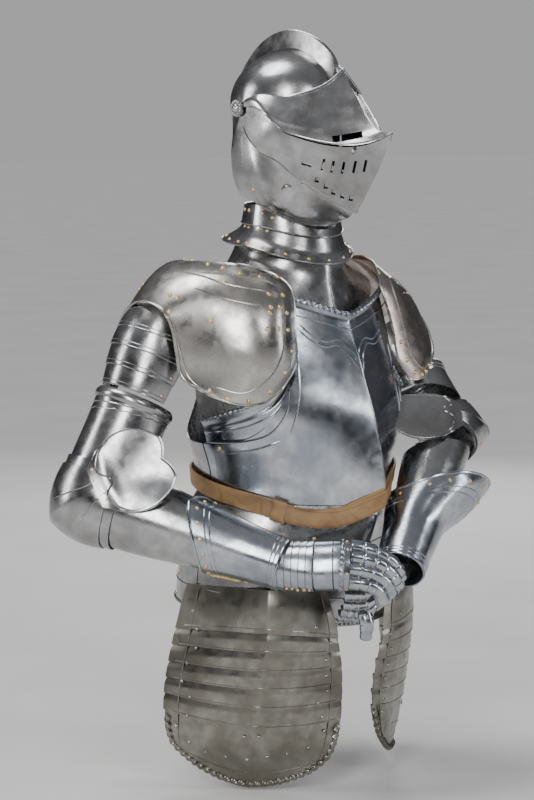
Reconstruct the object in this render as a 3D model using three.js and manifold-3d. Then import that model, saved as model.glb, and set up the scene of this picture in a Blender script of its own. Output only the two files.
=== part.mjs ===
// A half armour as a hollow suit of steel plates: close helmet, gorget, breast and back,
// pauldrons, whole arms with gauntlets, belt, fauld and two tassets.
// Millimetres. +Z is up, the wearer faces -Y and the wearer's left is +X.
// The origin is the middle of the neck, at the level where the neck meets the shoulders.
import * as THREE from "three";
import { mergeVertices } from "three/addons/utils/BufferGeometryUtils.js";
import Module from "manifold-3d";

const wasm = await Module();
wasm.setup();

// Driving dimensions
const WALL = 1.6;
const HELMET_PIVOT_Z = 262;
const SKULL_HALF = 92.6;
const BEVOR_HALF = 95.6;
const VENTAIL_HALF = 98.6;
const VISOR_HALF = 101;
const COMB_HALF_THICK = 4;
const DEGREE = Math.PI / 180;

// Materials
const steel = new THREE.MeshStandardMaterial({ color: 0x9a9b9d, roughness: 0.3, metalness: 1 });
const dullSteel = new THREE.MeshStandardMaterial({ color: 0x77726b, roughness: 0.42, metalness: 1 });
const brightSteel = new THREE.MeshStandardMaterial({ color: 0xb4b6b8, roughness: 0.22, metalness: 1 });
const tanLeather = new THREE.MeshStandardMaterial({ color: 0x8a6a45, roughness: 0.7, metalness: 0 });

const suit = new THREE.Group();

// Small mathematics
const point = (x, y, z) => new THREE.Vector3(x, y, z);
const clamp01 = (value) => Math.min(1, Math.max(0, value));
const mix = (a, b, share) => a + (b - a) * share;

function smoothStep(from, to, value) {
  const share = clamp01((value - from) / (to - from));
  return share * share * (3 - 2 * share);
}

// One column of a table, read between its rows by a smooth curve. Rows are sorted by the key column.
function column(table, key, name, value) {
  const last = table.length - 1;
  const sign = Math.sign(table[last][key] - table[0][key]);
  let row = 0;
  while (row < last - 1 && (value - table[row + 1][key]) * sign > 0) {
    row += 1;
  }
  const before = table[Math.max(0, row - 1)];
  const a = table[row];
  const b = table[row + 1];
  const after = table[Math.min(last, row + 2)];
  const width = b[key] - a[key];
  const share = clamp01((value - a[key]) / width);
  const slopeA = ((b[name] - before[name]) / (b[key] - before[key])) * width;
  const slopeB = ((after[name] - a[name]) / (after[key] - a[key])) * width;
  const s2 = share * share;
  const s3 = s2 * share;
  return (
    (2 * s3 - 3 * s2 + 1) * a[name] + (s3 - 2 * s2 + share) * slopeA +
    (3 * s2 - 2 * s3) * b[name] + (s3 - s2) * slopeB
  );
}

// Even steps from one value to another
function steps(from, to, count) {
  return Array.from({ length: count + 1 }, (_, i) => mix(from, to, i / count));
}

// The direction square to a surface, found from two nearby points each way
function squareTo(surface, u, v) {
  const h = 1e-4;
  const along = surface(u + h, v).sub(surface(u - h, v));
  const across = surface(u, v + h).sub(surface(u, v - h));
  return along.cross(across).normalize();
}

// A closed plate: the outer surface on a grid, the inner one a wall further in, and the edges between.
// inner may be a surface of its own. closed joins the last column to the first one.
// core gives a point on the hollow side of the plate.
function plateGeometry(outer, uList, vList, options = {}) {
  const { wall = WALL, inner = null, closed = false, core = point(0, 0, 0) } = options;
  const columns = uList.length;
  const rows = vList.length;
  const middleU = uList[Math.floor(columns / 2)];
  const middleV = mix(vList[0], vList[rows - 1], 0.5);
  const toCore = core.clone().sub(outer(middleU, middleV));
  const inwards = Math.sign(squareTo(outer, middleU, middleV).dot(toCore));
  const positions = [];
  for (const v of vList) {
    for (const u of uList) {
      positions.push(...outer(u, v).toArray());
    }
  }
  for (const v of vList) {
    for (const u of uList) {
      const at = inner
        ? inner(u, v)
        : outer(u, v).addScaledVector(squareTo(outer, u, v), wall * inwards);
      positions.push(...at.toArray());
    }
  }
  const half = rows * columns;
  const index = [];
  const quad = (a, b, c, d) => index.push(a, b, c, a, c, d);
  const spans = closed ? columns : columns - 1;
  for (let r = 0; r < rows - 1; r += 1) {
    for (let c = 0; c < spans; c += 1) {
      const next = (c + 1) % columns;
      const a = r * columns + c;
      const b = r * columns + next;
      const cc = (r + 1) * columns + next;
      const d = (r + 1) * columns + c;
      quad(a, b, cc, d);
      quad(half + a, half + d, half + cc, half + b);
    }
  }
  for (let c = 0; c < spans; c += 1) {
    const next = (c + 1) % columns;
    const top = (rows - 1) * columns;
    quad(c, half + c, half + next, next);
    quad(top + c, top + next, half + top + next, half + top + c);
  }
  if (!closed) {
    for (let r = 0; r < rows - 1; r += 1) {
      const a = r * columns;
      const b = (r + 1) * columns;
      const c = a + columns - 1;
      const d = b + columns - 1;
      quad(a, b, half + b, half + a);
      quad(c, half + c, half + d, d);
    }
  }
  const geometry = new THREE.BufferGeometry();
  geometry.setAttribute("position", new THREE.Float32BufferAttribute(positions, 3));
  geometry.setIndex(index);
  if (signedVolume(geometry) < 0) {
    turnFaces(geometry);
  }
  return geometry;
}

function signedVolume(geometry) {
  const at = geometry.attributes.position;
  const index = geometry.index.array;
  const a = new THREE.Vector3();
  const b = new THREE.Vector3();
  const c = new THREE.Vector3();
  let volume = 0;
  for (let i = 0; i < index.length; i += 3) {
    a.fromBufferAttribute(at, index[i]);
    b.fromBufferAttribute(at, index[i + 1]);
    c.fromBufferAttribute(at, index[i + 2]);
    volume += a.dot(b.cross(c)) / 6;
  }
  return volume;
}

function turnFaces(geometry) {
  const index = geometry.index.array;
  for (let i = 0; i < index.length; i += 3) {
    const kept = index[i + 1];
    index[i + 1] = index[i + 2];
    index[i + 2] = kept;
  }
}

// Boolean work on closed geometries
function toSolid(geometry) {
  const bare = geometry.clone();
  bare.deleteAttribute("normal");
  bare.deleteAttribute("uv");
  const merged = mergeVertices(bare, 1e-4);
  return new wasm.Manifold(new wasm.Mesh({
    numProp: 3,
    vertProperties: new Float32Array(merged.attributes.position.array),
    triVerts: new Uint32Array(merged.index.array),
  }));
}

function fromSolid(solid) {
  const mesh = solid.getMesh();
  const geometry = new THREE.BufferGeometry();
  geometry.setAttribute("position", new THREE.BufferAttribute(mesh.vertProperties, 3));
  geometry.setIndex(new THREE.BufferAttribute(mesh.triVerts, 1));
  return geometry;
}

function cutAway(geometry, cutters) {
  let solid = toSolid(geometry);
  for (const cutter of cutters) {
    solid = solid.subtract(toSolid(cutter));
  }
  return fromSolid(solid);
}

function joined(geometries) {
  let solid = toSolid(geometries[0]);
  for (const more of geometries.slice(1)) {
    solid = solid.add(toSolid(more));
  }
  return fromSolid(solid);
}

function addNode(name, geometry, material) {
  const mesh = new THREE.Mesh(geometry, material);
  mesh.name = name;
  suit.add(mesh);
  return mesh;
}

// Helmet
// Every section of the helmet lies in a plane through the pivot axis, at an angle above the front.
// keel is the reach at the middle, round the reach without the keel, power the squareness of the sides.
const visorRows = [
  { at: 0, angle: 28, side: 13, end: 44, keel: 122.6, round: 98, power: 1, sharp: 1.8 },
  { at: 1, angle: 22, side: 9, end: 40, keel: 123.5, round: 96, power: 0.9, sharp: 1.7 },
  { at: 2, angle: 12, side: 3, end: 35, keel: 131.5, round: 91, power: 0.75, sharp: 1.5 },
  { at: 3, angle: 4, side: -3, end: 30, keel: 144, round: 86, power: 0.6, sharp: 1.4 },
  { at: 4, angle: -3, side: -8, end: 25, keel: 155.7, round: 84, power: 0.48, sharp: 1.35 },
  { at: 5, angle: -7.5, side: -12.5, end: 19, keel: 170, round: 90, power: 0.42, sharp: 1.35 },
  { at: 6, angle: -9.8, side: -17, end: 13, keel: 181, round: 98, power: 0.4, sharp: 1.35 },
  { at: 7, angle: -9, side: -20.5, end: 8, keel: 217, round: 126, power: 0.38, sharp: 1.4 },
];
const ventailRows = [
  { at: 0, angle: -9.25, side: -21.8, end: 6, keel: 216, round: 125, power: 0.38, sharp: 1.4 },
  { at: 1, angle: -19.5, side: -27, end: -10, keel: 207, round: 125, power: 0.38, sharp: 1.4 },
  { at: 2, angle: -28.6, side: -33.5, end: -32, keel: 202, round: 125, power: 0.4, sharp: 1.4 },
  { at: 3, angle: -37, side: -40, end: -54, keel: 200.5, round: 130, power: 0.45, sharp: 1.4 },
  { at: 4, angle: -46.7, side: -48.5, end: -76, keel: 203, round: 134, power: 0.5, sharp: 1.4 },
];
const bevorRows = [
  { at: 0, angle: -30, side: -32, end: -20, keel: 195.5, round: 119, power: 0.4, sharp: 1.4 },
  { at: 1, angle: -38, side: -40, end: -38, keel: 194.5, round: 124, power: 0.45, sharp: 1.4 },
  { at: 2, angle: -46.7, side: -48.5, end: -56, keel: 197, round: 128, power: 0.5, sharp: 1.4 },
  { at: 3, angle: -51, side: -53, end: -64, keel: 197, round: 132, power: 0.5, sharp: 1.4 },
  { at: 4, angle: -57, side: -60, end: -70, keel: 190, round: 152, power: 0.48, sharp: 1.6 },
  { at: 5, angle: -65, side: -68, end: -77, keel: 184, round: 178, power: 0.46, sharp: 2 },
  { at: 6, angle: -76, side: -79, end: -84, keel: 172, round: 172, power: 0.42, sharp: 2 },
  { at: 7, angle: -90.2, side: -90.2, end: -90.2, keel: 155, round: 155, power: 0.36, sharp: 2 },
];
const skullRows = [
  { angle: 12, round: 92, comb: 12, power: 1 },
  { angle: 24, round: 93, comb: 18, power: 1.05 },
  { angle: 37, round: 93, comb: 23, power: 1.05 },
  { angle: 50, round: 91, comb: 23, power: 1 },
  { angle: 68, round: 88, comb: 23, power: 0.95 },
  { angle: 90, round: 86, comb: 26, power: 0.9 },
  { angle: 115, round: 84, comb: 30, power: 0.9 },
  { angle: 140, round: 82, comb: 36, power: 0.85 },
  { angle: 160, round: 80, comb: 44, power: 0.85 },
  { angle: 178, round: 76, comb: 44, power: 0.85 },
  { angle: 196, round: 73, comb: 26, power: 0.85 },
  { angle: 210, round: 75, comb: 8, power: 0.8 },
  { angle: 223, round: 85, comb: 1, power: 0.74 },
  { angle: 234, round: 101, comb: 0, power: 0.66 },
  { angle: 243, round: 130, comb: 0, power: 0.56 },
  { angle: 253, round: 152, comb: 0, power: 0.46 },
  { angle: 269.2, round: 152, comb: 0, power: 0.36 },
];

// A point of a helmet plate: q runs from the right pivot (-1) over the middle (0) to the left one (1)
function helmetPoint(q, row, half, less = 0) {
  const share = 1 - q * q;
  const cosine = Math.pow(share, 1 / row.power);
  const x = Math.sign(q) * Math.sqrt(1 - cosine * cosine);
  const keel = (row.keel - row.round) * Math.pow(1 - Math.abs(x), row.sharp);
  const reach = row.round * share + keel - less;
  const fromMiddle = 1 - Math.pow(1 - Math.abs(x), 3);
  const nearPivot = smoothStep(0.5, 1, Math.abs(q));
  const angle = mix(mix(row.angle, row.side, fromMiddle), row.end, nearPivot) * DEGREE;
  return point(x * (half - less), -reach * Math.cos(angle), HELMET_PIVOT_Z + reach * Math.sin(angle));
}

function tableRow(table, key, value) {
  const row = {};
  for (const name of Object.keys(table[0])) {
    row[name] = name === key ? value : column(table, key, name, value);
  }
  return row;
}

function helmetSurface(table, half, less = 0) {
  return (q, at) => helmetPoint(q, tableRow(table, "at", at), half, less);
}

function skullPoint(q, angle, less, comb) {
  const row = tableRow(skullRows, "angle", angle);
  const share = 1 - q * q;
  const cosine = Math.pow(share, 1 / row.power);
  const x = Math.sign(q) * Math.sqrt(1 - cosine * cosine) * (SKULL_HALF - less);
  const blade = 1 - smoothStep(COMB_HALF_THICK - 1, COMB_HALF_THICK + 8, Math.abs(x));
  const reach = row.round * share + comb * row.comb * blade - less;
  return point(x, -reach * Math.cos(angle * DEGREE), HELMET_PIVOT_Z + reach * Math.sin(angle * DEGREE));
}

const bothWays = (list) => [...list.map((q) => -q).reverse(), ...list];
const faceColumns = (last) => {
  const half = [0.12, 0.26, 0.42, 0.58, 0.72, 0.86, last];
  return [...bothWays(half), 0].sort((a, b) => a - b);
};
const skullColumns = bothWays([0.02, 0.045, 0.08, 0.2, 0.35, 0.5, 0.65, 0.8, 0.92, 0.966]);

// A half space below a tilted plane, as a large box
function boxBelow(y, z, slope) {
  const size = 600;
  const geometry = new THREE.BoxGeometry(size, size, size);
  geometry.translate(0, 0, -size / 2);
  geometry.rotateX(Math.atan(slope));
  geometry.translate(0, y, z);
  return geometry;
}

function makeSkull() {
  const outer = (q, angle) => skullPoint(q, angle, 0, 1);
  const inner = (q, angle) => skullPoint(q, angle, WALL, 0);
  const angles = skullRows.map((row) => row.angle);
  const shell = plateGeometry(outer, skullColumns, angles, { inner });
  addNode("helmet_skull", cutAway(shell, [boxBelow(0, 131, 0.08)]), steel);
}

function makeBevor() {
  const outer = helmetSurface(bevorRows, BEVOR_HALF);
  const inner = helmetSurface(bevorRows, BEVOR_HALF, WALL);
  const shell = plateGeometry(outer, faceColumns(0.979), steps(0, 7, 7), { inner });
  addNode("helmet_bevor", cutAway(shell, [boxBelow(-74, 93, 0.5)]), steel);
}

// The long slits of the sight and the small ones that the wearer breathes through, on both sides
const BREATH_UPPER = { count: 5, firstX: 13, stepX: 9, z: 188, high: 19, wide: 2.4 };
const BREATH_LOWER = { count: 5, firstX: 15, stepX: 8.5, z: 140, rise: 7, high: 9, wide: 4 };

function onHelmet(surface, x, z, low, high) {
  let best = surface(0, low);
  let least = Infinity;
  const sign = Math.sign(x);
  for (let i = 0; i <= 80; i += 1) {
    for (let j = 0; j <= 80; j += 1) {
      const at = surface((sign * i) / 90, mix(low, high, j / 80));
      const miss = Math.abs(at.x - x) + Math.abs(at.z - z);
      if (miss < least) {
        least = miss;
        best = at;
      }
    }
  }
  return best;
}

function breathCutters(surface) {
  const cutters = [];
  for (const side of [-1, 1]) {
    for (let i = 0; i < BREATH_UPPER.count; i += 1) {
      const x = side * (BREATH_UPPER.firstX + BREATH_UPPER.stepX * i);
      const centre = onHelmet(surface, x, BREATH_UPPER.z, 0, 4);
      const slit = new THREE.BoxGeometry(BREATH_UPPER.wide, 30, BREATH_UPPER.high);
      slit.rotateY(side * 0.12);
      slit.rotateZ(side * 0.6);
      slit.translate(centre.x, centre.y, centre.z);
      cutters.push(slit);
    }
    for (let i = 0; i < BREATH_LOWER.count; i += 1) {
      const x = side * (BREATH_LOWER.firstX + BREATH_LOWER.stepX * i);
      const centre = onHelmet(surface, x, BREATH_LOWER.z + BREATH_LOWER.rise * i * i * 0.28, 0, 4);
      const slit = new THREE.BoxGeometry(BREATH_LOWER.wide, 30, BREATH_LOWER.high);
      slit.rotateZ(side * 0.6);
      slit.translate(centre.x, centre.y, centre.z);
      cutters.push(slit);
    }
  }
  return cutters;
}

// The peg that lifts the face pieces stands on the wearer's right
const PEG = { x: -30, z: 202.5, ball: 4.2, stem: 2.2, out: 6 };

function makePeg(surface) {
  const seat = onHelmet(surface, PEG.x, PEG.z, 0, 4);
  const outwards = point(-0.62, -0.78, 0);
  const ball = new THREE.SphereGeometry(PEG.ball, 8, 6);
  ball.translate(...seat.clone().addScaledVector(outwards, PEG.out).toArray());
  const stem = new THREE.CylinderGeometry(PEG.stem, PEG.stem, PEG.out + 1, 8);
  stem.applyQuaternion(new THREE.Quaternion().setFromUnitVectors(point(0, 1, 0), outwards));
  stem.translate(...seat.clone().addScaledVector(outwards, PEG.out / 2 - 0.5).toArray());
  return [stem, ball];
}

function makeVentail() {
  const outer = helmetSurface(ventailRows, VENTAIL_HALF);
  const inner = helmetSurface(ventailRows, VENTAIL_HALF, WALL);
  const shell = plateGeometry(outer, faceColumns(0.98), steps(0, 4, 4), { inner });
  addNode("helmet_ventail", joined([cutAway(shell, breathCutters(outer)), ...makePeg(outer)]), steel);
}

function makeVisor() {
  const outer = helmetSurface(visorRows, VISOR_HALF);
  const inner = helmetSurface(visorRows, VISOR_HALF, WALL);
  const shell = plateGeometry(outer, faceColumns(0.97), steps(0, 7, 7), { inner });
  const sights = [];
  for (const side of [-1, 1]) {
    const slit = new THREE.BoxGeometry(38, 40, 6.5);
    slit.rotateY(side * 0.16);
    slit.rotateZ(side * 0.88);
    slit.translate(side * 26, -146, 234);
    sights.push(slit);
  }
  addNode("helmet_visor", cutAway(shell, sights), steel);
}

makeSkull();
makeBevor();
makeVentail();
makeVisor();

// Rosette heads of the two pivots and their pins, which the helmet's plates turn on
function makePivot(side, name) {
  const head = new THREE.CylinderGeometry(12, 12.5, 3, 14);
  head.rotateZ(Math.PI / 2);
  head.translate(side * (VISOR_HALF + 2.2), 0, HELMET_PIVOT_Z);
  const dome = new THREE.SphereGeometry(6, 8, 6);
  dome.translate(side * (VISOR_HALF + 3.5), 0, HELMET_PIVOT_Z);
  const pin = new THREE.CylinderGeometry(3, 3, 12, 8);
  pin.rotateZ(Math.PI / 2);
  pin.translate(side * (VISOR_HALF - 3), 0, HELMET_PIVOT_Z);
  addNode(name, joined([head, dome, pin]), brightSteel);
}
makePivot(-1, "pivot_right");
makePivot(1, "pivot_left");

// Rings round the neck and the body
// A ring point: turn is 0 at the front, 90 degrees at the wearer's left and 180 at the back.
function ringPoint(row, turn) {
  const sine = Math.sin(turn * DEGREE);
  const cosine = Math.cos(turn * DEGREE);
  const deep = cosine > 0 ? row.front : row.back;
  const keel = cosine > 0 ? (row.keel ?? 0) * Math.pow(1 - Math.abs(sine), 2.2) : 0;
  const ends = cosine > 0 ? row.zFront : row.zBack;
  const z = mix(row.zSide, ends, Math.pow(Math.abs(cosine), row.dip ?? 1.4));
  return point(row.half * sine, row.middle - deep * cosine - keel, z);
}

function ringSurface(table) {
  return (turn, at) => ringPoint(tableRow(table, "at", at), turn);
}

const FRONT_TURNS = [-89.6, 89.6];
const BACK_TURNS = [90.4, 269.6];
const upperNeckRows = [
  { at: 0, half: 69, front: 69, back: 68, middle: 0, zFront: 90, zSide: 125, zBack: 127 },
  { at: 1, half: 73.5, front: 73.5, back: 73.5, middle: 0, zFront: 79, zSide: 96, zBack: 101 },
];
const lowerNeckRows = [
  { at: 0, half: 69, front: 69, back: 69, middle: 0, zFront: 82, zSide: 98, zBack: 102 },
  { at: 0.35, half: 73.5, front: 73, back: 77, middle: 1, zFront: 69, zSide: 88, zBack: 94 },
  { at: 0.7, half: 81, front: 80, back: 90, middle: 4, zFront: 54, zSide: 77, zBack: 86 },
  { at: 1, half: 94, front: 97, back: 101, middle: 9, zFront: 41, zSide: 68, zBack: 79 },
];

function makeRing(name, table, turns, columns, rows, material) {
  const uList = steps(turns[0], turns[1], columns);
  const core = point(0, 0, (table[0].zSide + table[table.length - 1].zSide) / 2);
  addNode(name, plateGeometry(ringSurface(table), uList, rows, { core }), material);
}

makeRing("neck_lame_upper_front", upperNeckRows, FRONT_TURNS, 12, [0, 1], steel);
makeRing("neck_lame_upper_back", upperNeckRows, BACK_TURNS, 12, [0, 1], steel);
makeRing("neck_lame_lower_front", lowerNeckRows, FRONT_TURNS, 12, [0, 0.35, 0.7, 1], steel);
makeRing("neck_lame_lower_back", lowerNeckRows, BACK_TURNS, 12, [0, 0.35, 0.7, 1], steel);

// Gorget
const gorgetRows = [
  { at: 0, half: 76, front: 80, back: 82, middle: 4, keel: 2, zFront: 46, zSide: 62, zBack: 72, dip: 1.4 },
  { at: 0.3, half: 84, front: 80, back: 92, middle: 4, keel: 4, zFront: 26, zSide: 46, zBack: 50, dip: 1.4 },
  { at: 0.6, half: 104, front: 84, back: 98, middle: 4, keel: 6, zFront: 2, zSide: 33, zBack: 20, dip: 1.6 },
  { at: 1, half: 134, front: 96, back: 102, middle: 6, keel: 8, zFront: -38, zSide: 20, zBack: -20, dip: 1.7 },
];
makeRing("gorget_front", gorgetRows, FRONT_TURNS, 14, [0, 0.3, 0.6, 0.8, 1], steel);
makeRing("gorget_back", gorgetRows, BACK_TURNS, 12, [0, 0.3, 0.6, 1], steel);

// Torso
// Sections of the body at a height: half width, reach to the front without the keel, keel, reach to the back.
const torsoRows = [
  { z: 30, half: 150, front: 70, keel: 0, back: 92 },
  { z: 0, half: 158, front: 98, keel: 8, back: 112 },
  { z: -40, half: 166, front: 114, keel: 10, back: 124 },
  { z: -80, half: 172, front: 126, keel: 12, back: 130 },
  { z: -120, half: 176, front: 134, keel: 18, back: 130 },
  { z: -162, half: 176, front: 141, keel: 29, back: 127 },
  { z: -205, half: 168, front: 137, keel: 46, back: 124 },
  { z: -240, half: 156, front: 128, keel: 65, back: 124 },
  { z: -270, half: 149, front: 122, keel: 73, back: 126 },
  { z: -290, half: 149, front: 120, keel: 71, back: 128 },
];

function torsoPoint(turn, z, outwards = 0) {
  const row = tableRow(torsoRows, "z", z);
  const sine = Math.sin(turn * DEGREE);
  const cosine = Math.cos(turn * DEGREE);
  const deep = cosine > 0 ? row.front : row.back;
  const keel = cosine > 0 ? row.keel * Math.pow(1 - Math.abs(sine), 1.8) : 0;
  return point((row.half + outwards) * sine, -(deep + outwards) * cosine - keel, z);
}

const BREAST_BOTTOM = -280;
const BREAST_WALL = 2;
const neckline = [
  { side: 0, z: -28 },
  { side: 0.25, z: -22 },
  { side: 0.5, z: -11 },
  { side: 0.75, z: 6 },
  { side: 1, z: 14 },
];

function breastPoint(across, down, outwards = 0) {
  const top = column(neckline, "side", "z", Math.abs(across));
  return torsoPoint(across * 89.4, mix(top, BREAST_BOTTOM, down), outwards);
}

// The neck edge of the breastplate is turned outwards into a bead
function breastWithBead(across, down) {
  const bead = 1 - smoothStep(0, 0.035, down);
  return breastPoint(across, down).addScaledVector(point(0, -1, 0.5), 5 * bead);
}

// Each armhole is a rounded rectangle seen from the side, cut through breast and back
const ARMHOLE = { y: 0, z: -88, halfY: 117, halfZ: 123, fromX: 93, squareness: 3 };

function armholeCutter(side, grow) {
  const shape = new THREE.Shape();
  const count = 20;
  for (let i = 0; i < count; i += 1) {
    const turn = (i / count) * 2 * Math.PI;
    const round = (value) => Math.sign(value) * Math.pow(Math.abs(value), 2 / ARMHOLE.squareness);
    const y = ARMHOLE.y + (ARMHOLE.halfY + grow) * round(Math.cos(turn));
    const z = ARMHOLE.z + (ARMHOLE.halfZ + grow) * round(Math.sin(turn));
    if (i === 0) {
      shape.moveTo(y, z);
    } else {
      shape.lineTo(y, z);
    }
  }
  const geometry = new THREE.ExtrudeGeometry(shape, { depth: 150, bevelEnabled: false });
  geometry.rotateX(Math.PI / 2);
  geometry.rotateZ(Math.PI / 2);
  geometry.translate(ARMHOLE.fromX, 0, 0);
  if (side < 0) {
    geometry.rotateZ(Math.PI);
    geometry.translate(0, 2 * ARMHOLE.y, 0);
  }
  return geometry;
}

function makeBreast() {
  const across = bothWays([0.04, 0.12, 0.25, 0.4, 0.55, 0.7, 0.85, 1]);
  across.splice(across.length / 2, 0, 0);
  const down = [0, 0.035, 0.12, 0.28, 0.44, 0.58, 0.72, 0.86, 1];
  const shell = plateGeometry(breastWithBead, across, down, { wall: BREAST_WALL, core: point(0, 0, -150) });
  addNode("breastplate", cutAway(shell, [armholeCutter(-1, 0), armholeCutter(1, 0)]), brightSteel);
}

function makeBack() {
  const top = 8;
  const surface = (across, down) => torsoPoint(180 + across * 89.4, mix(top, BREAST_BOTTOM, down));
  const shell = plateGeometry(surface, steps(-1, 1, 12), steps(0, 1, 5), { core: point(0, 0, -150) });
  addNode("backplate", cutAway(shell, [armholeCutter(-1, 0), armholeCutter(1, 0)]), steel);
}
makeBreast();
makeBack();

// Gussets close the front of the armholes from behind: high and low edges at each turn
const gussetRows = [
  { turn: 32, high: -96, low: -132 },
  { turn: 42, high: -128, low: -196 },
  { turn: 55, high: -150, low: -218 },
  { turn: 72, high: -166, low: -225 },
  { turn: 88, high: -177, low: -227 },
];
const GUSSET_IN = -4.4;

function gussetSurface(side) {
  return (turn, down) => {
    const row = tableRow(gussetRows, "turn", turn);
    const open = smoothStep(32, 44, turn);
    const flare = 5 * open * (1 - smoothStep(0, 0.22, down));
    const ridge = 1.6 * Math.exp(-Math.pow((down - 0.34) / 0.07, 2));
    return torsoPoint(side * turn, mix(row.high, row.low, down), GUSSET_IN + flare + ridge);
  };
}
const gussetDown = [0, 0.12, 0.24, 0.34, 0.44, 1];
// The left one is shorter, since that arm swings forward over the side of the body
for (const [side, name, last] of [[-1, "gusset_right", 88], [1, "gusset_left", 48]]) {
  const turns = steps(32, last, Math.round((last - 32) / 8));
  const shell = plateGeometry(gussetSurface(side), turns, gussetDown, { core: point(0, 0, -150) });
  addNode(name, shell, brightSteel);
}

// Fauld and culet: the skirt of plates below the waist, front and back
const skirtRows = [
  { at: 0, half: 142, front: 115, keel: 66, back: 119, middle: 0, zFront: -266, zSide: -266, zBack: -266 },
  { at: 0.08, half: 144.5, front: 116.5, keel: 67, back: 121.5, middle: 0, zFront: -283, zSide: -283, zBack: -283 },
  { at: 0.16, half: 156, front: 122, keel: 63, back: 130, middle: 0, zFront: -304, zSide: -302, zBack: -302 },
  { at: 0.4, half: 171, front: 126, keel: 42, back: 142, middle: 0, zFront: -350, zSide: -346, zBack: -342 },
  { at: 0.7, half: 181, front: 130, keel: 24, back: 150, middle: 0, zFront: -402, zSide: -400, zBack: -392 },
  { at: 1, half: 187, front: 131, keel: 14, back: 156, middle: 0, zFront: -438, zSide: -452, zBack: -440 },
];
makeRing("fauld_front", skirtRows, FRONT_TURNS, 16, [0, 0.08, 0.16, 0.4, 0.7, 1], steel);
makeRing("culet_back", skirtRows, BACK_TURNS, 12, [0, 0.08, 0.16, 0.4, 0.7, 1], steel);

// Tassets
// Each row is a section: the inner edge, the keel and the outer edge, joined by one curve.
const tassetInner = [
  { at: 0, x: 44, y: -149, z: -466 },
  { at: 0.15, x: 42, y: -151, z: -490 },
  { at: 0.35, x: 33, y: -148, z: -528 },
  { at: 0.55, x: 29, y: -144, z: -572 },
  { at: 0.75, x: 32, y: -142, z: -620 },
  { at: 0.9, x: 44, y: -139, z: -652 },
  { at: 1, x: 64, y: -130, z: -672 },
];
const tassetKeel = [
  { at: 0, x: 134, y: -110, z: -448 },
  { at: 0.15, x: 135, y: -109, z: -482 },
  { at: 0.35, x: 136, y: -101, z: -530 },
  { at: 0.55, x: 137, y: -92, z: -578 },
  { at: 0.75, x: 138, y: -81, z: -630 },
  { at: 0.9, x: 138, y: -68, z: -674 },
  { at: 1, x: 137.5, y: -61, z: -700 },
];
const tassetOuter = [
  { at: 0, x: 192, y: 22, z: -456 },
  { at: 0.15, x: 196, y: 28, z: -484 },
  { at: 0.35, x: 204, y: 32, z: -526 },
  { at: 0.55, x: 210, y: 34, z: -566 },
  { at: 0.75, x: 210, y: 34, z: -608 },
  { at: 0.9, x: 203, y: 31, z: -637 },
  { at: 1, x: 192, y: 20, z: -655 },
];
const TASSET_LAMES = 7;
const TASSET_STEP = 1.4;
const TASSET_LAST_TOP = 0.68;

// A curve through three points, one on each of three edge tables
function acrossThree(tables, across, at) {
  const shares = [(1 - across) * (1 - 2 * across), 4 * across * (1 - across), across * (2 * across - 1)];
  const total = point(0, 0, 0);
  tables.forEach((table, i) => {
    const row = tableRow(table, "at", at);
    total.addScaledVector(point(row.x, row.y, row.z), shares[i]);
  });
  return total;
}

function tassetPoint(side, across, at, outwards) {
  const plain = acrossThree([tassetInner, tassetKeel, tassetOuter], across, at);
  const ridge = 4 * Math.pow(Math.max(0, 1 - Math.abs(across - 0.5) * 5), 1.5);
  const turn = mix(-70, 25, across) * DEGREE;
  const push = outwards + ridge;
  return point(side * (plain.x + push * Math.cos(turn)), plain.y + push * Math.sin(turn), plain.z);
}

// The lames overlap downwards, so each one starts a step further in
function tassetSurface(side) {
  return (across, at) => {
    const lame = Math.min(TASSET_LAMES - 1, Math.floor((at / TASSET_LAST_TOP) * (TASSET_LAMES - 1) + 1e-6));
    const share = (at / TASSET_LAST_TOP) * (TASSET_LAMES - 1) - lame;
    const outwards = at < TASSET_LAST_TOP ? TASSET_STEP * clamp01(share) : TASSET_STEP;
    return tassetPoint(side, across, at, outwards);
  };
}

function tassetDown() {
  const list = [];
  for (let lame = 0; lame < TASSET_LAMES - 1; lame += 1) {
    const top = (TASSET_LAST_TOP * lame) / (TASSET_LAMES - 1);
    const step = TASSET_LAST_TOP / (TASSET_LAMES - 1);
    list.push(top + step * 0.02, top + step * 0.94);
  }
  return [...list, TASSET_LAST_TOP + 0.005, 0.8, 0.9, 1];
}
const tassetAcross = [0, 0.1, 0.26, 0.42, 0.5, 0.58, 0.76, 0.9, 1];
for (const [side, name] of [[-1, "tasset_right"], [1, "tasset_left"]]) {
  const outer = tassetSurface(side);
  const inner = (across, at) => tassetPoint(side, across, at, -WALL - 0.6);
  addNode(name, plateGeometry(outer, tassetAcross, tassetDown(), { inner }), dullSteel);
}

// Belt: it hangs lowest at the wearer's right front
const beltRows = [
  { turn: -180, z: -246 },
  { turn: -120, z: -253 },
  { turn: -75, z: -272 },
  { turn: -50, z: -284 },
  { turn: -30, z: -300 },
  { turn: -12, z: -283 },
  { turn: 4, z: -257 },
  { turn: 40, z: -250 },
  { turn: 120, z: -246 },
  { turn: 180, z: -246 },
];
const BELT_WIDTH = 24;
const BELT_THICK = 3.4;
const BELT_OFF = 4.2;

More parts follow.
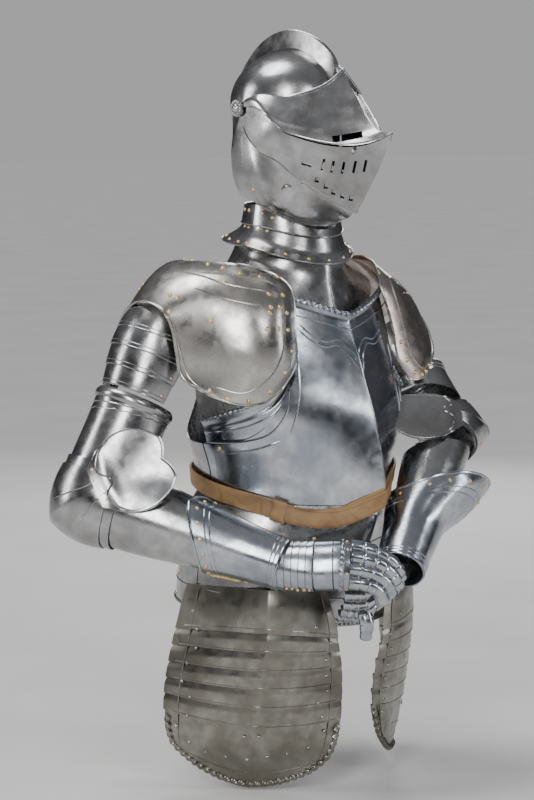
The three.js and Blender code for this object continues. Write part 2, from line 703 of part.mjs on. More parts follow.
function beltSurface(off) {
  return (turn, down) => {
    const top = column(beltRows, "turn", "z", turn);
    const z = top - BELT_WIDTH * down;
    const sine = Math.sin(turn * DEGREE);
    const cosine = Math.cos(turn * DEGREE);
    const low = tableRow(skirtRows, "at", clamp01((-z - 276) / 190));
    const high = tableRow(torsoRows, "z", Math.max(-290, z));
    const half = Math.max(low.half, high.half) + off;
    const front = Math.max(low.front, high.front) + off;
    const keel = Math.max(low.keel, high.keel) * Math.pow(1 - Math.abs(sine), 1.8);
    const back = Math.max(low.back, high.back) + off;
    return point(half * sine, cosine > 0 ? -front * cosine - keel : -back * cosine, z);
  };
}
const beltTurns = steps(-180, 170, 35);
const beltOuter = beltSurface(BELT_OFF + BELT_THICK);
const beltInner = beltSurface(BELT_OFF);
addNode("belt", plateGeometry(beltOuter, beltTurns, [0, 1], { inner: beltInner, closed: true }), tanLeather);

// The free end of the belt and its keeper lie on the belt at the wearer's right front
const TAIL_FROM = -50;
const TAIL_TO = 10;
const tailOuter = beltSurface(BELT_OFF + BELT_THICK * 2 + 0.8);
const tailInner = beltSurface(BELT_OFF + BELT_THICK + 0.8);
const tailTurns = beltTurns.filter((turn) => turn >= TAIL_FROM && turn <= TAIL_TO);
addNode("belt_end", plateGeometry(tailOuter, tailTurns, [0, 1], { inner: tailInner }), tanLeather);

// Arms
// Each arm is set by its joints, in millimetres, and by the way its outer side faces.
const arms = {
  right: {
    side: -1,
    shoulder: point(-178, 42, -5),
    elbow: point(-310, 61, -285),
    wrist: point(-148, -170, -369),
    lameTurns: [-40, 150],
    lameScale: 1,
    upperScale: 1,
    elbowScale: 1,
    upperLobe: 1,
    cuffEnd: 284,
    foreScale: 1.03,
    cuff: { tipTurn: 135, rim: 180, tip: 46, radius: 53, flare: 3 },
  },
  left: {
    side: 1,
    shoulder: point(166, 36, -8),
    elbow: point(190, -120, -209),
    wrist: point(2, -229, -383),
    lameTurns: [-104, 100],
    lameScale: 0.83,
    upperScale: 0.86,
    elbowScale: 0.88,
    upperLobe: 0.5,
    cuffEnd: 276,
    foreScale: 0.85,
    cuff: { tipTurn: 20, rim: 158, tip: 86, radius: 51, flare: 36 },
  },
};

// Directions of an arm: along each half, square to the arm's plane and inwards to the bend
function armFrame(arm) {
  const upper = arm.elbow.clone().sub(arm.shoulder);
  const lower = arm.wrist.clone().sub(arm.elbow);
  const along = upper.clone().normalize();
  const fore = lower.clone().normalize();
  let square = along.clone().cross(fore).normalize();
  if (square.y > 0) {
    square = square.negate();
  }
  const inUpper = fore.clone().addScaledVector(along, -fore.dot(along)).normalize();
  const inLower = along.clone().negate().addScaledVector(fore, along.dot(fore)).normalize();
  return {
    along, fore, square, inUpper, inLower,
    upperLength: upper.length(),
    foreLength: lower.length(),
    bend: Math.acos(along.dot(fore)),
  };
}

// A point on a tube about a straight stretch: turn 0 is the outside of the bend, 90 the outer side of the arm
function tubePoint(from, direction, inward, square, distance, turn, radius, flat = 1) {
  const angle = turn * DEGREE;
  return from.clone()
    .addScaledVector(direction, distance)
    .addScaledVector(inward, -Math.cos(angle) * radius)
    .addScaledVector(square, Math.sin(angle) * radius * flat);
}

const shoulderLames = [
  { top: 52, bottom: 70, radius: 53 },
  { top: 61, bottom: 98, radius: 51.4 },
  { top: 88, bottom: 127, radius: 49.8 },
  { top: 118, bottom: 154, radius: 48.2 },
];
const upperCannonRows = [
  { at: 158, radius: 54 },
  { at: 163, radius: 57.4 },
  { at: 169, radius: 58 },
  { at: 175, radius: 55.4 },
  { at: 210, radius: 55 },
  { at: 250, radius: 56 },
  { at: 310, radius: 56.5 },
];
const lowerCannonRows = [
  { at: 0, radius: 55 },
  { at: 60, radius: 54 },
  { at: 120, radius: 49 },
  { at: 190, radius: 40 },
  { at: 230, radius: 35 },
];
const cuffRows = [
  { at: 120, share: 1 },
  { at: 170, share: 0.9 },
  { at: 220, share: 0.78 },
  { at: 284, share: 0.68 },
];
const UPPER_START = 158;
const FULL_TURN = steps(0, 360 - 360 / 16, 15);

const wingRows = [
  { at: 0, half: 30 },
  { at: 0.3, half: 54 },
  { at: 0.6, half: 60 },
  { at: 0.85, half: 48 },
  { at: 1, half: 30 },
];

function makeArm(name, arm) {
  const frame = armFrame(arm);
  const upperAt = (distance, turn, radius) =>
    tubePoint(arm.shoulder, frame.along, frame.inUpper, frame.square, distance, turn, radius);
  const foreAt = (distance, turn, radius) =>
    tubePoint(arm.elbow, frame.fore, frame.inLower, frame.square, distance, turn, radius);
  const upperCore = arm.shoulder.clone().lerp(arm.elbow, 0.5);
  const foreCore = arm.elbow.clone().lerp(arm.wrist, 0.5);

  // Lames that hang under the pauldron, each one inside the one above
  shoulderLames.forEach((lame, number) => {
    const radius = lame.radius * arm.lameScale;
    const surface = (turn, at) => upperAt(mix(lame.top, lame.bottom, at), turn, radius + 1.2 * at);
    const turns = steps(arm.lameTurns[0], arm.lameTurns[1], 12);
    const shell = plateGeometry(surface, turns, [0, 1], { core: upperCore });
    addNode("shoulder_lame_" + (number + 1) + "_" + name, shell, steel);
  });

  // Upper cannon with its turned bead, cut back at the inside of the elbow
  const upperEnd = (turn) => frame.upperLength - 52 + 24 * Math.cos(turn * DEGREE);
  const upperCannon = (turn, at) => {
    const distance = mix(UPPER_START, upperEnd(turn), at);
    return upperAt(distance, turn, column(upperCannonRows, "at", "radius", distance) * arm.upperScale);
  };
  const upperSteps = [0, 0.05, 0.11, 0.17, 0.5, 1];
  const upperShell = plateGeometry(upperCannon, FULL_TURN, upperSteps, { closed: true, core: upperCore });
  addNode("upper_cannon_" + name, upperShell, steel);

  // Lower cannon
  const foreStart = (turn) => 50 - 24 * Math.cos(turn * DEGREE);
  const lowerCannon = (turn, at) => {
    const distance = mix(foreStart(turn), 225, at);
    return foreAt(distance, turn, column(lowerCannonRows, "at", "radius", distance) * arm.foreScale);
  };
  const lowerShell = plateGeometry(lowerCannon, FULL_TURN, steps(0, 1, 4), { closed: true, core: foreCore });
  addNode("lower_cannon_" + name, lowerShell, steel);

  // Elbow: plates turn about a point on the inside of the bend
  const bendRadius = 30;
  const offset = bendRadius * Math.tan(frame.bend / 2);
  const pivot = arm.elbow.clone()
    .addScaledVector(frame.along, -offset)
    .addScaledVector(frame.inUpper, bendRadius);
  const bendPoint = (share, turn, radius, lift = 0) => {
    const angle = frame.bend * clamp01(share);
    const beyond = (share - clamp01(share)) * frame.bend * bendRadius;
    const tangent = frame.inUpper.clone().multiplyScalar(Math.sin(angle))
      .addScaledVector(frame.along, Math.cos(angle));
    const outward = frame.inUpper.clone().multiplyScalar(-Math.cos(angle))
      .addScaledVector(frame.along, Math.sin(angle));
    const reach = bendRadius + radius * Math.cos(turn * DEGREE) + lift;
    return pivot.clone()
      .addScaledVector(outward, reach)
      .addScaledVector(tangent, beyond)
      .addScaledVector(frame.square, radius * Math.sin(turn * DEGREE));
  };
  const elbowCore = arm.elbow.clone();
  const couter = (turn, at) => {
    const share = mix(-0.02, 1.02, at);
    const middle = Math.max(0, 1 - Math.abs(at - 0.5) * 2);
    const front = Math.max(0, Math.cos(turn * DEGREE));
    const lift = 19 * Math.pow(front, 3) * Math.pow(middle, 1.2);
    return bendPoint(share, turn, (62 + 3 * middle) * arm.elbowScale, lift);
  };
  const cap = plateGeometry(couter, steps(-104, 96, 12), steps(0, 1, 6), { core: elbowCore });

  // The couter's wing spreads over the outer side of the bend in two lobes
  const outward = frame.inUpper.clone().multiplyScalar(-Math.cos(frame.bend / 2))
    .addScaledVector(frame.along, Math.sin(frame.bend / 2));
  const across = frame.square.clone().cross(outward).normalize();
  const wing = (side, inwardShare) => {
    const reach = mix(30, -66 - 8 * Math.abs(side), inwardShare);
    const lobe = side < 0 ? 1 : arm.upperLobe;
    const half = column(wingRows, "at", "half", inwardShare) * arm.elbowScale * lobe;
    return pivot.clone()
      .addScaledVector(outward, reach)
      .addScaledVector(across, side * half)
      .addScaledVector(frame.square, 64.4 * arm.elbowScale + 3 * inwardShare - 2 * side * side);
  };
  const wingPlate = plateGeometry(wing, steps(-1, 1, 6), [0, 0.2, 0.45, 0.75, 1], { core: elbowCore });
  addNode("couter_" + name, joined([cap, wingPlate]), steel);

  // Narrow lames above and below the couter, inside it and outside the cannons
  for (const [lame, from, to] of [["upper", -0.3, 0.08], ["lower", 0.92, 1.3]]) {
    const surface = (turn, at) => bendPoint(mix(from, to, at), turn, 59.6 * arm.elbowScale);
    const shell = plateGeometry(surface, steps(-96, 84, 12), [0, 0.8, 1], { core: elbowCore });
    addNode("elbow_lame_" + lame + "_" + name, shell, steel);
  }

  // Gauntlet cuff: a closed bell over the lower cannon, pointed on one side
  const cuff = arm.cuff;
  const nearTip = (turn) => Math.pow(0.5 + 0.5 * Math.cos((turn - cuff.tipTurn) * DEGREE), 2.4);
  const cuffSurface = (turn, at) => {
    const distance = mix(cuff.rim - cuff.tip * nearTip(turn), arm.cuffEnd, at);
    const open = 1 - smoothStep(0, 0.55, at);
    const radius = cuff.radius * column(cuffRows, "at", "share", distance) + cuff.flare * nearTip(turn) * open;
    return foreAt(distance, turn, radius);
  };
  const cuffShell = plateGeometry(cuffSurface, FULL_TURN, [0, 0.2, 0.45, 0.75, 1], { closed: true, core: foreCore });
  addNode("gauntlet_cuff_" + name, cuffShell, brightSteel);
}
makeArm("right", arms.right);
makeArm("left", arms.left);

// Pauldrons: three edges run from the back over the shoulder to the front, with one curve across them
const pauldronInner = [
  { at: 0, x: 110, y: 122, z: -80 },
  { at: 1, x: 118, y: 114, z: -20 },
  { at: 2, x: 136, y: 70, z: 40 },
  { at: 3, x: 142, y: 26, z: 42 },
  { at: 4, x: 114, y: -46, z: 40 },
  { at: 5, x: 84, y: -94, z: 14 },
  { at: 6, x: 91, y: -114, z: -48 },
  { at: 7, x: 96, y: -121, z: -94 },
  { at: 8, x: 122, y: -120, z: -130 },
];
const pauldronMiddle = {
  right: [
    { at: 0, x: 170, y: 132, z: -92 },
    { at: 1, x: 178, y: 120, z: -24 },
    { at: 2, x: 194, y: 72, z: 30 },
    { at: 3, x: 200, y: 28, z: 41 },
    { at: 4, x: 182, y: -48, z: 34 },
    { at: 5, x: 164, y: -106, z: -6 },
    { at: 6, x: 166, y: -126, z: -55 },
    { at: 7, x: 168, y: -126, z: -100 },
    { at: 8, x: 176, y: -112, z: -148 },
  ],
  left: [
    { at: 0, x: 168, y: 128, z: -98 },
    { at: 1, x: 174, y: 112, z: -34 },
    { at: 2, x: 188, y: 62, z: 20 },
    { at: 3, x: 192, y: 20, z: 12 },
    { at: 4, x: 176, y: -46, z: -3 },
    { at: 5, x: 142, y: -88, z: -4 },
    { at: 6, x: 142, y: -108, z: -54 },
    { at: 7, x: 141, y: -118, z: -94 },
    { at: 8, x: 146, y: -122, z: -128 },
  ],
};
// The left one is cut narrower at the front, where that arm swings forward
const pauldronOuter = {
  right: [
    { at: 0, x: 232, y: 118, z: -92 },
    { at: 1, x: 242, y: 98, z: -48 },
    { at: 2, x: 250, y: 56, z: -14 },
    { at: 3, x: 252, y: 18, z: -8 },
    { at: 4, x: 250, y: -16, z: -20 },
    { at: 5, x: 243, y: -26, z: -45 },
    { at: 6, x: 238, y: -29, z: -78 },
    { at: 7, x: 233, y: -34, z: -110 },
    { at: 8, x: 222, y: -64, z: -127 },
  ],
  left: [
    { at: 0, x: 222, y: 106, z: -104 },
    { at: 1, x: 232, y: 90, z: -68 },
    { at: 2, x: 240, y: 54, z: -50 },
    { at: 3, x: 232, y: 10, z: -34 },
    { at: 4, x: 220, y: -30, z: -42 },
    { at: 5, x: 209, y: -58, z: -55 },
    { at: 6, x: 199, y: -83, z: -76 },
    { at: 7, x: 186, y: -102, z: -95 },
    { at: 8, x: 166, y: -113, z: -113 },
  ],
};

function pauldronSurface(side, name) {
  const tables = [pauldronInner, pauldronMiddle[name], pauldronOuter[name]];
  return (across, at) => {
    const plain = acrossThree(tables, across, at);
    return point(side * plain.x, plain.y, plain.z);
  };
}
for (const [side, name] of [[-1, "right"], [1, "left"]]) {
  const core = point(side * 190, 20, -60);
  const surface = pauldronSurface(side, name);
  addNode("pauldron_" + name, plateGeometry(surface, steps(0, 1, 8), steps(0, 8, 12), { core }), brightSteel);
}

// Hands: plates over the back of each hand, swept along a path of stations
// Each station has its place, the way the back of the hand faces, and the half width and depth of the plate there.
function sweptHand(stations) {
  return (turn, at) => {
    const row = tableRow(stations, "at", at);
    const before = tableRow(stations, "at", Math.max(stations[0].at, at - 0.02));
    const after = tableRow(stations, "at", Math.min(stations[stations.length - 1].at, at + 0.02));
    const along = point(after.x - before.x, after.y - before.y, after.z - before.z).normalize();
    const back = point(row.faceX, row.faceY, row.faceZ);
    back.addScaledVector(along, -back.dot(along)).normalize();
    const across = along.clone().cross(back);
    const ripple = (row.ripple ?? 0) * Math.abs(Math.sin(turn * DEGREE * 2.6));
    return point(row.x, row.y, row.z)
      .addScaledVector(back, Math.cos(turn * DEGREE) * (row.deep + ripple))
      .addScaledVector(across, Math.sin(turn * DEGREE) * row.half);
  };
}

const rightHand = [
  { at: 0, x: -155, y: -162, z: -369, faceX: -0.62, faceY: -0.6, faceZ: 0.5, half: 32, deep: 27, ripple: 0 },
  { at: 1, x: -126, y: -194, z: -367, faceX: -0.62, faceY: -0.62, faceZ: 0.48, half: 35, deep: 25, ripple: 0 },
  { at: 2, x: -98, y: -222, z: -366, faceX: -0.5, faceY: -0.75, faceZ: 0.43, half: 35, deep: 25, ripple: 0 },
  { at: 3, x: -72, y: -240, z: -370, faceX: -0.3, faceY: -0.88, faceZ: 0.35, half: 33, deep: 22, ripple: 3 },
  { at: 4, x: -46, y: -249, z: -384, faceX: -0.1, faceY: -0.97, faceZ: 0.2, half: 31, deep: 18, ripple: 3 },
  { at: 5, x: -30, y: -247, z: -404, faceX: 0.1, faceY: -0.98, faceZ: 0, half: 29, deep: 14, ripple: 3 },
];
const leftHand = [
  { at: 0, x: 14, y: -213, z: -382, faceX: -0.1, faceY: -0.8, faceZ: -0.6, half: 31, deep: 24, ripple: 0 },
  { at: 1, x: -14, y: -212, z: -404, faceX: -0.1, faceY: -0.8, faceZ: -0.6, half: 32, deep: 20, ripple: 0 },
  { at: 2, x: -46, y: -205, z: -424, faceX: -0.2, faceY: -0.75, faceZ: -0.62, half: 31, deep: 18, ripple: 2 },
  { at: 3, x: -76, y: -192, z: -424, faceX: -0.5, faceY: -0.6, faceZ: -0.6, half: 29, deep: 16, ripple: 2 },
];
const thumbRight = [
  { at: 0, x: -105, y: -163, z: -353, faceX: -0.2, faceY: -0.2, faceZ: 0.9, half: 12, deep: 12 },
  { at: 1, x: -76, y: -178, z: -350, faceX: -0.1, faceY: -0.2, faceZ: 0.9, half: 11, deep: 11 },
  { at: 2, x: -50, y: -192, z: -356, faceX: 0.3, faceY: -0.2, faceZ: 0.9, half: 10, deep: 10 },
];
const thumbLeft = [
  { at: 0, x: -56, y: -222, z: -438, faceX: -0.5, faceY: -0.85, faceZ: 0, half: 10, deep: 10 },
  { at: 1, x: -54, y: -224, z: -452, faceX: -0.5, faceY: -0.85, faceZ: -0.1, half: 10, deep: 10 },
  { at: 2, x: -52, y: -220, z: -474, faceX: -0.5, faceY: -0.85, faceZ: -0.2, half: 8, deep: 8 },
];

function handPlate(name, stations, from, to, spread, columns, rows) {
  const core = point(...["x", "y", "z"].map((axis) => column(stations, "at", axis, (from + to) / 2)));
  const surface = sweptHand(stations);
  const shell = plateGeometry(surface, steps(-spread, spread, columns), steps(from, to, rows), { core });
  addNode(name, shell, brightSteel);
}
handPlate("wrist_lames_right", rightHand, 0.1, 1.02, 112, 12, 2);
handPlate("hand_plate_right", rightHand, 1.06, 1.66, 108, 12, 1);
handPlate("knuckle_plate_right", rightHand, 1.7, 2.25, 104, 12, 2);
handPlate("fingers_right", rightHand, 2.3, 5, 96, 12, 5);
handPlate("thumb_right", thumbRight, 0, 2, 100, 8, 4);
handPlate("wrist_lames_left", leftHand, 0.45, 0.8, 110, 10, 2);
handPlate("hand_plate_left", leftHand, 0.85, 1.7, 112, 10, 2);
handPlate("fingers_left", leftHand, 1.75, 3, 100, 10, 3);
handPlate("thumb_left", thumbLeft, 0, 2, 100, 8, 4);

// Rivets: a short pin on each piece reaches almost to the piece that carries it, where the two lie closest
const RIVET = { radius: 1.5, clearance: 0.3, sunk: 1, sides: 6 };

function cornersOf(geometry) {
  const at = geometry.attributes.position;
  return Array.from({ length: at.count }, (_, i) => new THREE.Vector3().fromBufferAttribute(at, i));
}

// The closest corner of one geometry to a face of another, as [corner, point on the face]
function closestPair(from, to) {
  const corners = cornersOf(to);
  const faces = [];
  for (let i = 0; i < to.index.count; i += 3) {
    faces.push(new THREE.Triangle(...[0, 1, 2].map((k) => corners[to.index.getX(i + k)])));
  }
  let best = [null, null];
  let least = Infinity;
  const target = new THREE.Vector3();
  for (const corner of cornersOf(from)) {
    for (const face of faces) {
      face.closestPointToPoint(corner, target);
      const distance = corner.distanceTo(target);
      if (distance < least) {
        least = distance;
        best = [corner, target.clone()];
      }
    }
  }
  return { least, best };
}

function rivetOn(pieceName, carrierName) {
  const piece = suit.getObjectByName(pieceName);
  const carrier = suit.getObjectByName(carrierName);
  const forth = closestPair(piece.geometry, carrier.geometry);
  const back = closestPair(carrier.geometry, piece.geometry);
  const [start, end] = forth.least <= back.least ? forth.best : [back.best[1], back.best[0]];
  const gap = start.distanceTo(end);
  if (gap <= RIVET.clearance * 2) {
    return;
  }
  const direction = end.clone().sub(start).normalize();
  const length = gap - RIVET.clearance + RIVET.sunk;
  const pin = new THREE.CylinderGeometry(RIVET.radius, RIVET.radius, length, RIVET.sides);
  pin.applyQuaternion(new THREE.Quaternion().setFromUnitVectors(point(0, 1, 0), direction));
  pin.translate(...start.clone().addScaledVector(direction, length / 2 - RIVET.sunk).toArray());
  piece.geometry = joined([piece.geometry, pin]);
}

const carriedBy = [
  ["gorget_back", "gorget_front"],
  ["neck_lame_lower_back", "gorget_back"],
  ["neck_lame_upper_back", "neck_lame_lower_back"],
  ["helmet_skull", "neck_lame_upper_back"],
  ["neck_lame_upper_front", "helmet_bevor"],
  ["neck_lame_lower_front", "neck_lame_upper_front"],
  ["breastplate", "gorget_front"],
  ["backplate", "breastplate"],
  ["fauld_front", "breastplate"],
  ["culet_back", "backplate"],
  ["gusset_right", "breastplate"],
  ["gusset_left", "breastplate"],
  ["belt", "breastplate"],
  ["belt_end", "belt"],
  ["tasset_right", "fauld_front"],
  ["tasset_left", "fauld_front"],
  ["knuckle_plate_right", "hand_plate_right"],
  ["fingers_right", "knuckle_plate_right"],
  ["fingers_left", "hand_plate_left"],
  ["thumb_left", "fingers_left"],
];
for (const name of ["right", "left"]) {
  const pairs = [
    ["pauldron", "breastplate"],
    ["shoulder_lame_1", "pauldron"],
    ["shoulder_lame_2", "shoulder_lame_1"],
    ["shoulder_lame_3", "shoulder_lame_2"],
    ["shoulder_lame_4", "shoulder_lame_3"],
    ["upper_cannon", "shoulder_lame_4"],
    ["elbow_lame_upper", "upper_cannon"],
    ["couter", "elbow_lame_upper"],
    ["elbow_lame_lower", "couter"],
    ["lower_cannon", "elbow_lame_lower"],
    ["gauntlet_cuff", "lower_cannon"],
    ["wrist_lames", "gauntlet_cuff"],
    ["hand_plate", "wrist_lames"],
  ];
  for (const [piece, carrier] of pairs) {
    carriedBy.push([piece + "_" + name, carrier === "breastplate" ? carrier : carrier + "_" + name]);
  }
}
carriedBy.push(["thumb_right", "hand_plate_right"]);
for (const [piece, carrier] of carriedBy) {
  rivetOn(piece, carrier);
}

export default suit;
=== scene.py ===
"""Looks of an empty half armour of steel plates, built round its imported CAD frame.

Surfaces are worked out in millimetres, in the frame's axes, and become metres when a mesh is made.
Each plate is a closed shell on a surface of its own, and lines, ropes and rivets lie on those surfaces.
"""

import math

import bmesh
import bpy
import numpy as np
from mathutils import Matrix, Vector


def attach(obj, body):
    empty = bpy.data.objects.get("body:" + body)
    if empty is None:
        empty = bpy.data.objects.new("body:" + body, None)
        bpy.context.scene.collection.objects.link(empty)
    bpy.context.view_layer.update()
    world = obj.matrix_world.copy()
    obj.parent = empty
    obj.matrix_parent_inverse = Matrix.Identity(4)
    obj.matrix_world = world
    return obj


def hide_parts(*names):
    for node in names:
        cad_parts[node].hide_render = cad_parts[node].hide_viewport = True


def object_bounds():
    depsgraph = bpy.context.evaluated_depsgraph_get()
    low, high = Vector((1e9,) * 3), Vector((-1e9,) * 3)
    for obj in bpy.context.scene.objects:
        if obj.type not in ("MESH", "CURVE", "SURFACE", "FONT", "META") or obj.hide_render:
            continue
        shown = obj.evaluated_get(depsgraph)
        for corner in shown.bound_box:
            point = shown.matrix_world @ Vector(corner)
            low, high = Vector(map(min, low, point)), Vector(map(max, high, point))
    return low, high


MM = 0.001

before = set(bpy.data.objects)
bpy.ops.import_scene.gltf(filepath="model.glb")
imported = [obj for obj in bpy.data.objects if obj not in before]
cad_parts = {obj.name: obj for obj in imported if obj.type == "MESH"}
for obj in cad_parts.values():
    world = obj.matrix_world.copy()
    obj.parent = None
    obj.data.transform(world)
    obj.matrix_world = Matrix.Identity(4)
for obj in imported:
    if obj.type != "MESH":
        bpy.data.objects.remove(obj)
cad_low, cad_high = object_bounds()

# The photograph's view
PHOTO_SIZE = np.array([534.0, 800.0])
PHOTO_ORIGIN = np.array([292.0, 290.0])
PX_PER_MM = 0.69
VIEW_DISTANCE = 4000.0
VIEW_AZIMUTH = math.radians(40)
VIEW_ELEVATION = math.radians(6)
LENS = 124.2

RIGHT = np.array([math.cos(VIEW_AZIMUTH), -math.sin(VIEW_AZIMUTH), 0.0])
TO_EYE = np.array([
    -math.sin(VIEW_AZIMUTH) * math.cos(VIEW_ELEVATION),
    -math.cos(VIEW_AZIMUTH) * math.cos(VIEW_ELEVATION),
    math.sin(VIEW_ELEVATION),
])
UP = np.cross(TO_EYE, RIGHT)
OFF_CENTRE = (PHOTO_ORIGIN - PHOTO_SIZE / 2) / PX_PER_MM
TARGET = -RIGHT * OFF_CENTRE[0] + UP * OFF_CENTRE[1]
EYE = TARGET + TO_EYE * VIEW_DISTANCE


def to_photo(points):
    """Photograph pixels of points in millimetres."""
    away = points - EYE
    scale = PX_PER_MM * VIEW_DISTANCE / -(away @ TO_EYE)
    across = PHOTO_SIZE[0] / 2 + (away @ RIGHT) * scale
    down = PHOTO_SIZE[1] / 2 - (away @ UP) * scale
    return np.stack([across, down], axis=-1)


# Tables and small mathematics
def rows(names, *values):
    """A table with named columns, kept as one array for each column."""
    return {name: np.array(column, float) for name, column in zip(names.split(), zip(*values))}


def read(table, key, name, value):
    """One column of a table, read between its rows by a smooth curve."""
    keys, numbers = table[key], table[name]
    if keys[-1] < keys[0]:
        keys, numbers = keys[::-1], numbers[::-1]
    value = np.asarray(value, float)
    row = np.clip(np.searchsorted(keys, value, side="left") - 1, 0, len(keys) - 2)
    before = np.maximum(row - 1, 0)
    after = np.minimum(row + 2, len(keys) - 1)
    width = keys[row + 1] - keys[row]
    share = np.clip((value - keys[row]) / width, 0, 1)
    slope_a = (numbers[row + 1] - numbers[before]) / (keys[row + 1] - keys[before]) * width
    slope_b = (numbers[after] - numbers[row]) / (keys[after] - keys[row]) * width
    s2, s3 = share**2, share**3
    start = (2 * s3 - 3 * s2 + 1) * numbers[row] + (s3 - 2 * s2 + share) * slope_a
    return start + (3 * s2 - 2 * s3) * numbers[row + 1] + (s3 - s2) * slope_b


def mix(a, b, share):
    return a + (b - a) * share


def smooth_step(low, high, value):
    share = np.clip((value - low) / (high - low), 0, 1)
    return share * share * (3 - 2 * share)


def stack(x, y, z):
    return np.stack(np.broadcast_arrays(x, y, z), axis=-1)


def unit(vectors):
    return vectors / np.linalg.norm(vectors, axis=-1, keepdims=True)


def square_to(surface, u, v):
    step = 1e-4
    along = surface(u + step, v) - surface(u - step, v)
    across = surface(u, v + step) - surface(u, v - step)
    return unit(np.cross(along, across))


# Materials. A noise is taken as running from the first of these values to the second
NOISE_LOW, NOISE_HIGH = 0.3, 0.7


def new_material(name):
    material = bpy.data.materials.new(name)
    material.use_nodes = True
    tree = material.node_tree
    return material, tree, tree.nodes["Principled BSDF"]


def add_node(tree, kind, **settings):
    node = tree.nodes.new(kind)
    for key, value in settings.items():
        setattr(node, key, value)
    return node


def noise(tree, place, scale, detail, distortion=0.0):
    node = add_node(tree, "ShaderNodeTexNoise")
    node.inputs["Scale"].default_value = scale
    node.inputs["Detail"].default_value = detail
    node.inputs["Distortion"].default_value = distortion
    tree.links.new(place, node.inputs["Vector"])
    return node.outputs["Fac"]


def ramp(tree, value, stops):
    node = add_node(tree, "ShaderNodeValToRGB")
    elements = node.color_ramp.elements
    while len(elements) < len(stops):
        elements.new(0.5)
    for element, (position, colour) in zip(elements, stops):
        element.position = position
        element.color = (*colour, 1)
    tree.links.new(value, node.inputs["Fac"])
    return node.outputs["Color"]


def to_range(tree, value, low, high):
    node = add_node(tree, "ShaderNodeMapRange")
    node.inputs["From Min"].default_value = NOISE_LOW
    node.inputs["From Max"].default_value = NOISE_HIGH
    node.inputs["To Min"].default_value = low
    node.inputs["To Max"].default_value = high
    tree.links.new(value, node.inputs["Value"])
    return node.outputs["Result"]


def blend_colours(tree, share, first, second):
    node = add_node(tree, "ShaderNodeMix", data_type="RGBA", blend_type="MIX")
    inputs = node.inputs
    for socket, value in ((inputs["Factor"], share), (inputs[6], first), (inputs[7], second)):
        if isinstance(value, bpy.types.NodeSocket):
            tree.links.new(value, socket)
        else:
            socket.default_value = value if isinstance(value, float) else (*value, 1)
    return node.outputs[2]


def bump(tree, height, strength, distance, under=None):
    node = add_node(tree, "ShaderNodeBump")
    node.inputs["Strength"].default_value = strength
    node.inputs["Distance"].default_value = distance
    tree.links.new(height, node.inputs["Height"])
    if under:
        tree.links.new(under, node.inputs["Normal"])
    return node.outputs["Normal"]


def steel(name, light, dark, stain, rough, stains):
    """Old polished steel: mottled grey with stains, fine scratches and slight hammer waves."""
    material, tree, shader = new_material(name)
    place = add_node(tree, "ShaderNodeTexCoord").outputs["Object"]
    broad = noise(tree, place, 14, 5, 0.6)
    middle = noise(tree, place, 60, 4, 0.3)
    fine = noise(tree, place, 420, 6)
    tone = ramp(tree, broad, [(0.34, dark), (0.62, light)])
    spots = to_range(tree, middle, 0.0, stains)
    coloured = blend_colours(tree, spots, tone, stain)
    shader.inputs["Metallic"].default_value = 1.0
    tree.links.new(coloured, shader.inputs["Base Color"])
    tree.links.new(to_range(tree, middle, rough[0], rough[1]), shader.inputs["Roughness"])
    hammered = bump(tree, noise(tree, place, 22, 2), 0.12, 0.004)
    tree.links.new(bump(tree, fine, 0.05, 0.0006, hammered), shader.inputs["Normal"])
    return material


def brass():
    material, tree, shader = new_material("brass")
    place = add_node(tree, "ShaderNodeTexCoord").outputs["Object"]
    worn = noise(tree, place, 300, 4)
    colour = ramp(tree, worn, [(0.35, (0.56, 0.40, 0.16)), (0.65, (0.90, 0.71, 0.36))])
    shader.inputs["Metallic"].default_value = 1.0
    tree.links.new(colour, shader.inputs["Base Color"])
    tree.links.new(to_range(tree, worn, 0.2, 0.42), shader.inputs["Roughness"])
    return material


def leather(name, light, dark):
    material, tree, shader = new_material(name)
    place = add_node(tree, "ShaderNodeTexCoord").outputs["Object"]
    worn = noise(tree, place, 35, 6, 0.8)
    grain = add_node(tree, "ShaderNodeTexVoronoi", feature="DISTANCE_TO_EDGE")
    grain.inputs["Scale"].default_value = 900
    tree.links.new(place, grain.inputs["Vector"])
    tree.links.new(ramp(tree, worn, [(0.3, dark), (0.65, light)]), shader.inputs["Base Color"])
    tree.links.new(to_range(tree, worn, 0.5, 0.72), shader.inputs["Roughness"])
    tree.links.new(bump(tree, grain.outputs["Distance"], 0.25, 0.0005), shader.inputs["Normal"])
    return material


# Each steel: its light and dark colours, its stain, the range of its roughness, and how stained it is
STEELS = {
    "steel": ((0.52, 0.53, 0.54), (0.30, 0.305, 0.31), (0.24, 0.22, 0.20), (0.16, 0.32), 0.5),
    "bright_steel": ((0.58, 0.61, 0.65), (0.33, 0.37, 0.43), (0.26, 0.27, 0.29), (0.15, 0.29), 0.5),
    "pauldron_steel": ((0.58, 0.57, 0.55), (0.36, 0.35, 0.33), (0.30, 0.27, 0.24), (0.2, 0.36), 0.5),
    "warm_steel": ((0.60, 0.56, 0.52), (0.40, 0.34, 0.30), (0.38, 0.27, 0.22), (0.2, 0.36), 0.5),
    "dull_steel": ((0.34, 0.335, 0.30), (0.20, 0.195, 0.17), (0.16, 0.14, 0.105), (0.24, 0.40), 0.6),
}
MATERIALS = {
    **{name: steel(name, *looks) for name, looks in STEELS.items()},
    "brass": brass(),
    "tan_leather": leather("tan_leather", (0.38, 0.23, 0.10), (0.20, 0.11, 0.045)),
    "red_leather": leather("red_leather", (0.33, 0.15, 0.06), (0.17, 0.075, 0.03)),
}


# Meshes
SMOOTH_UP_TO = math.radians(38)
BOX_FACES = [(0, 1, 3, 2), (4, 6, 7, 5), (0, 4, 5, 1), (2, 3, 7, 6), (0, 2, 6, 4), (1, 5, 7, 3)]


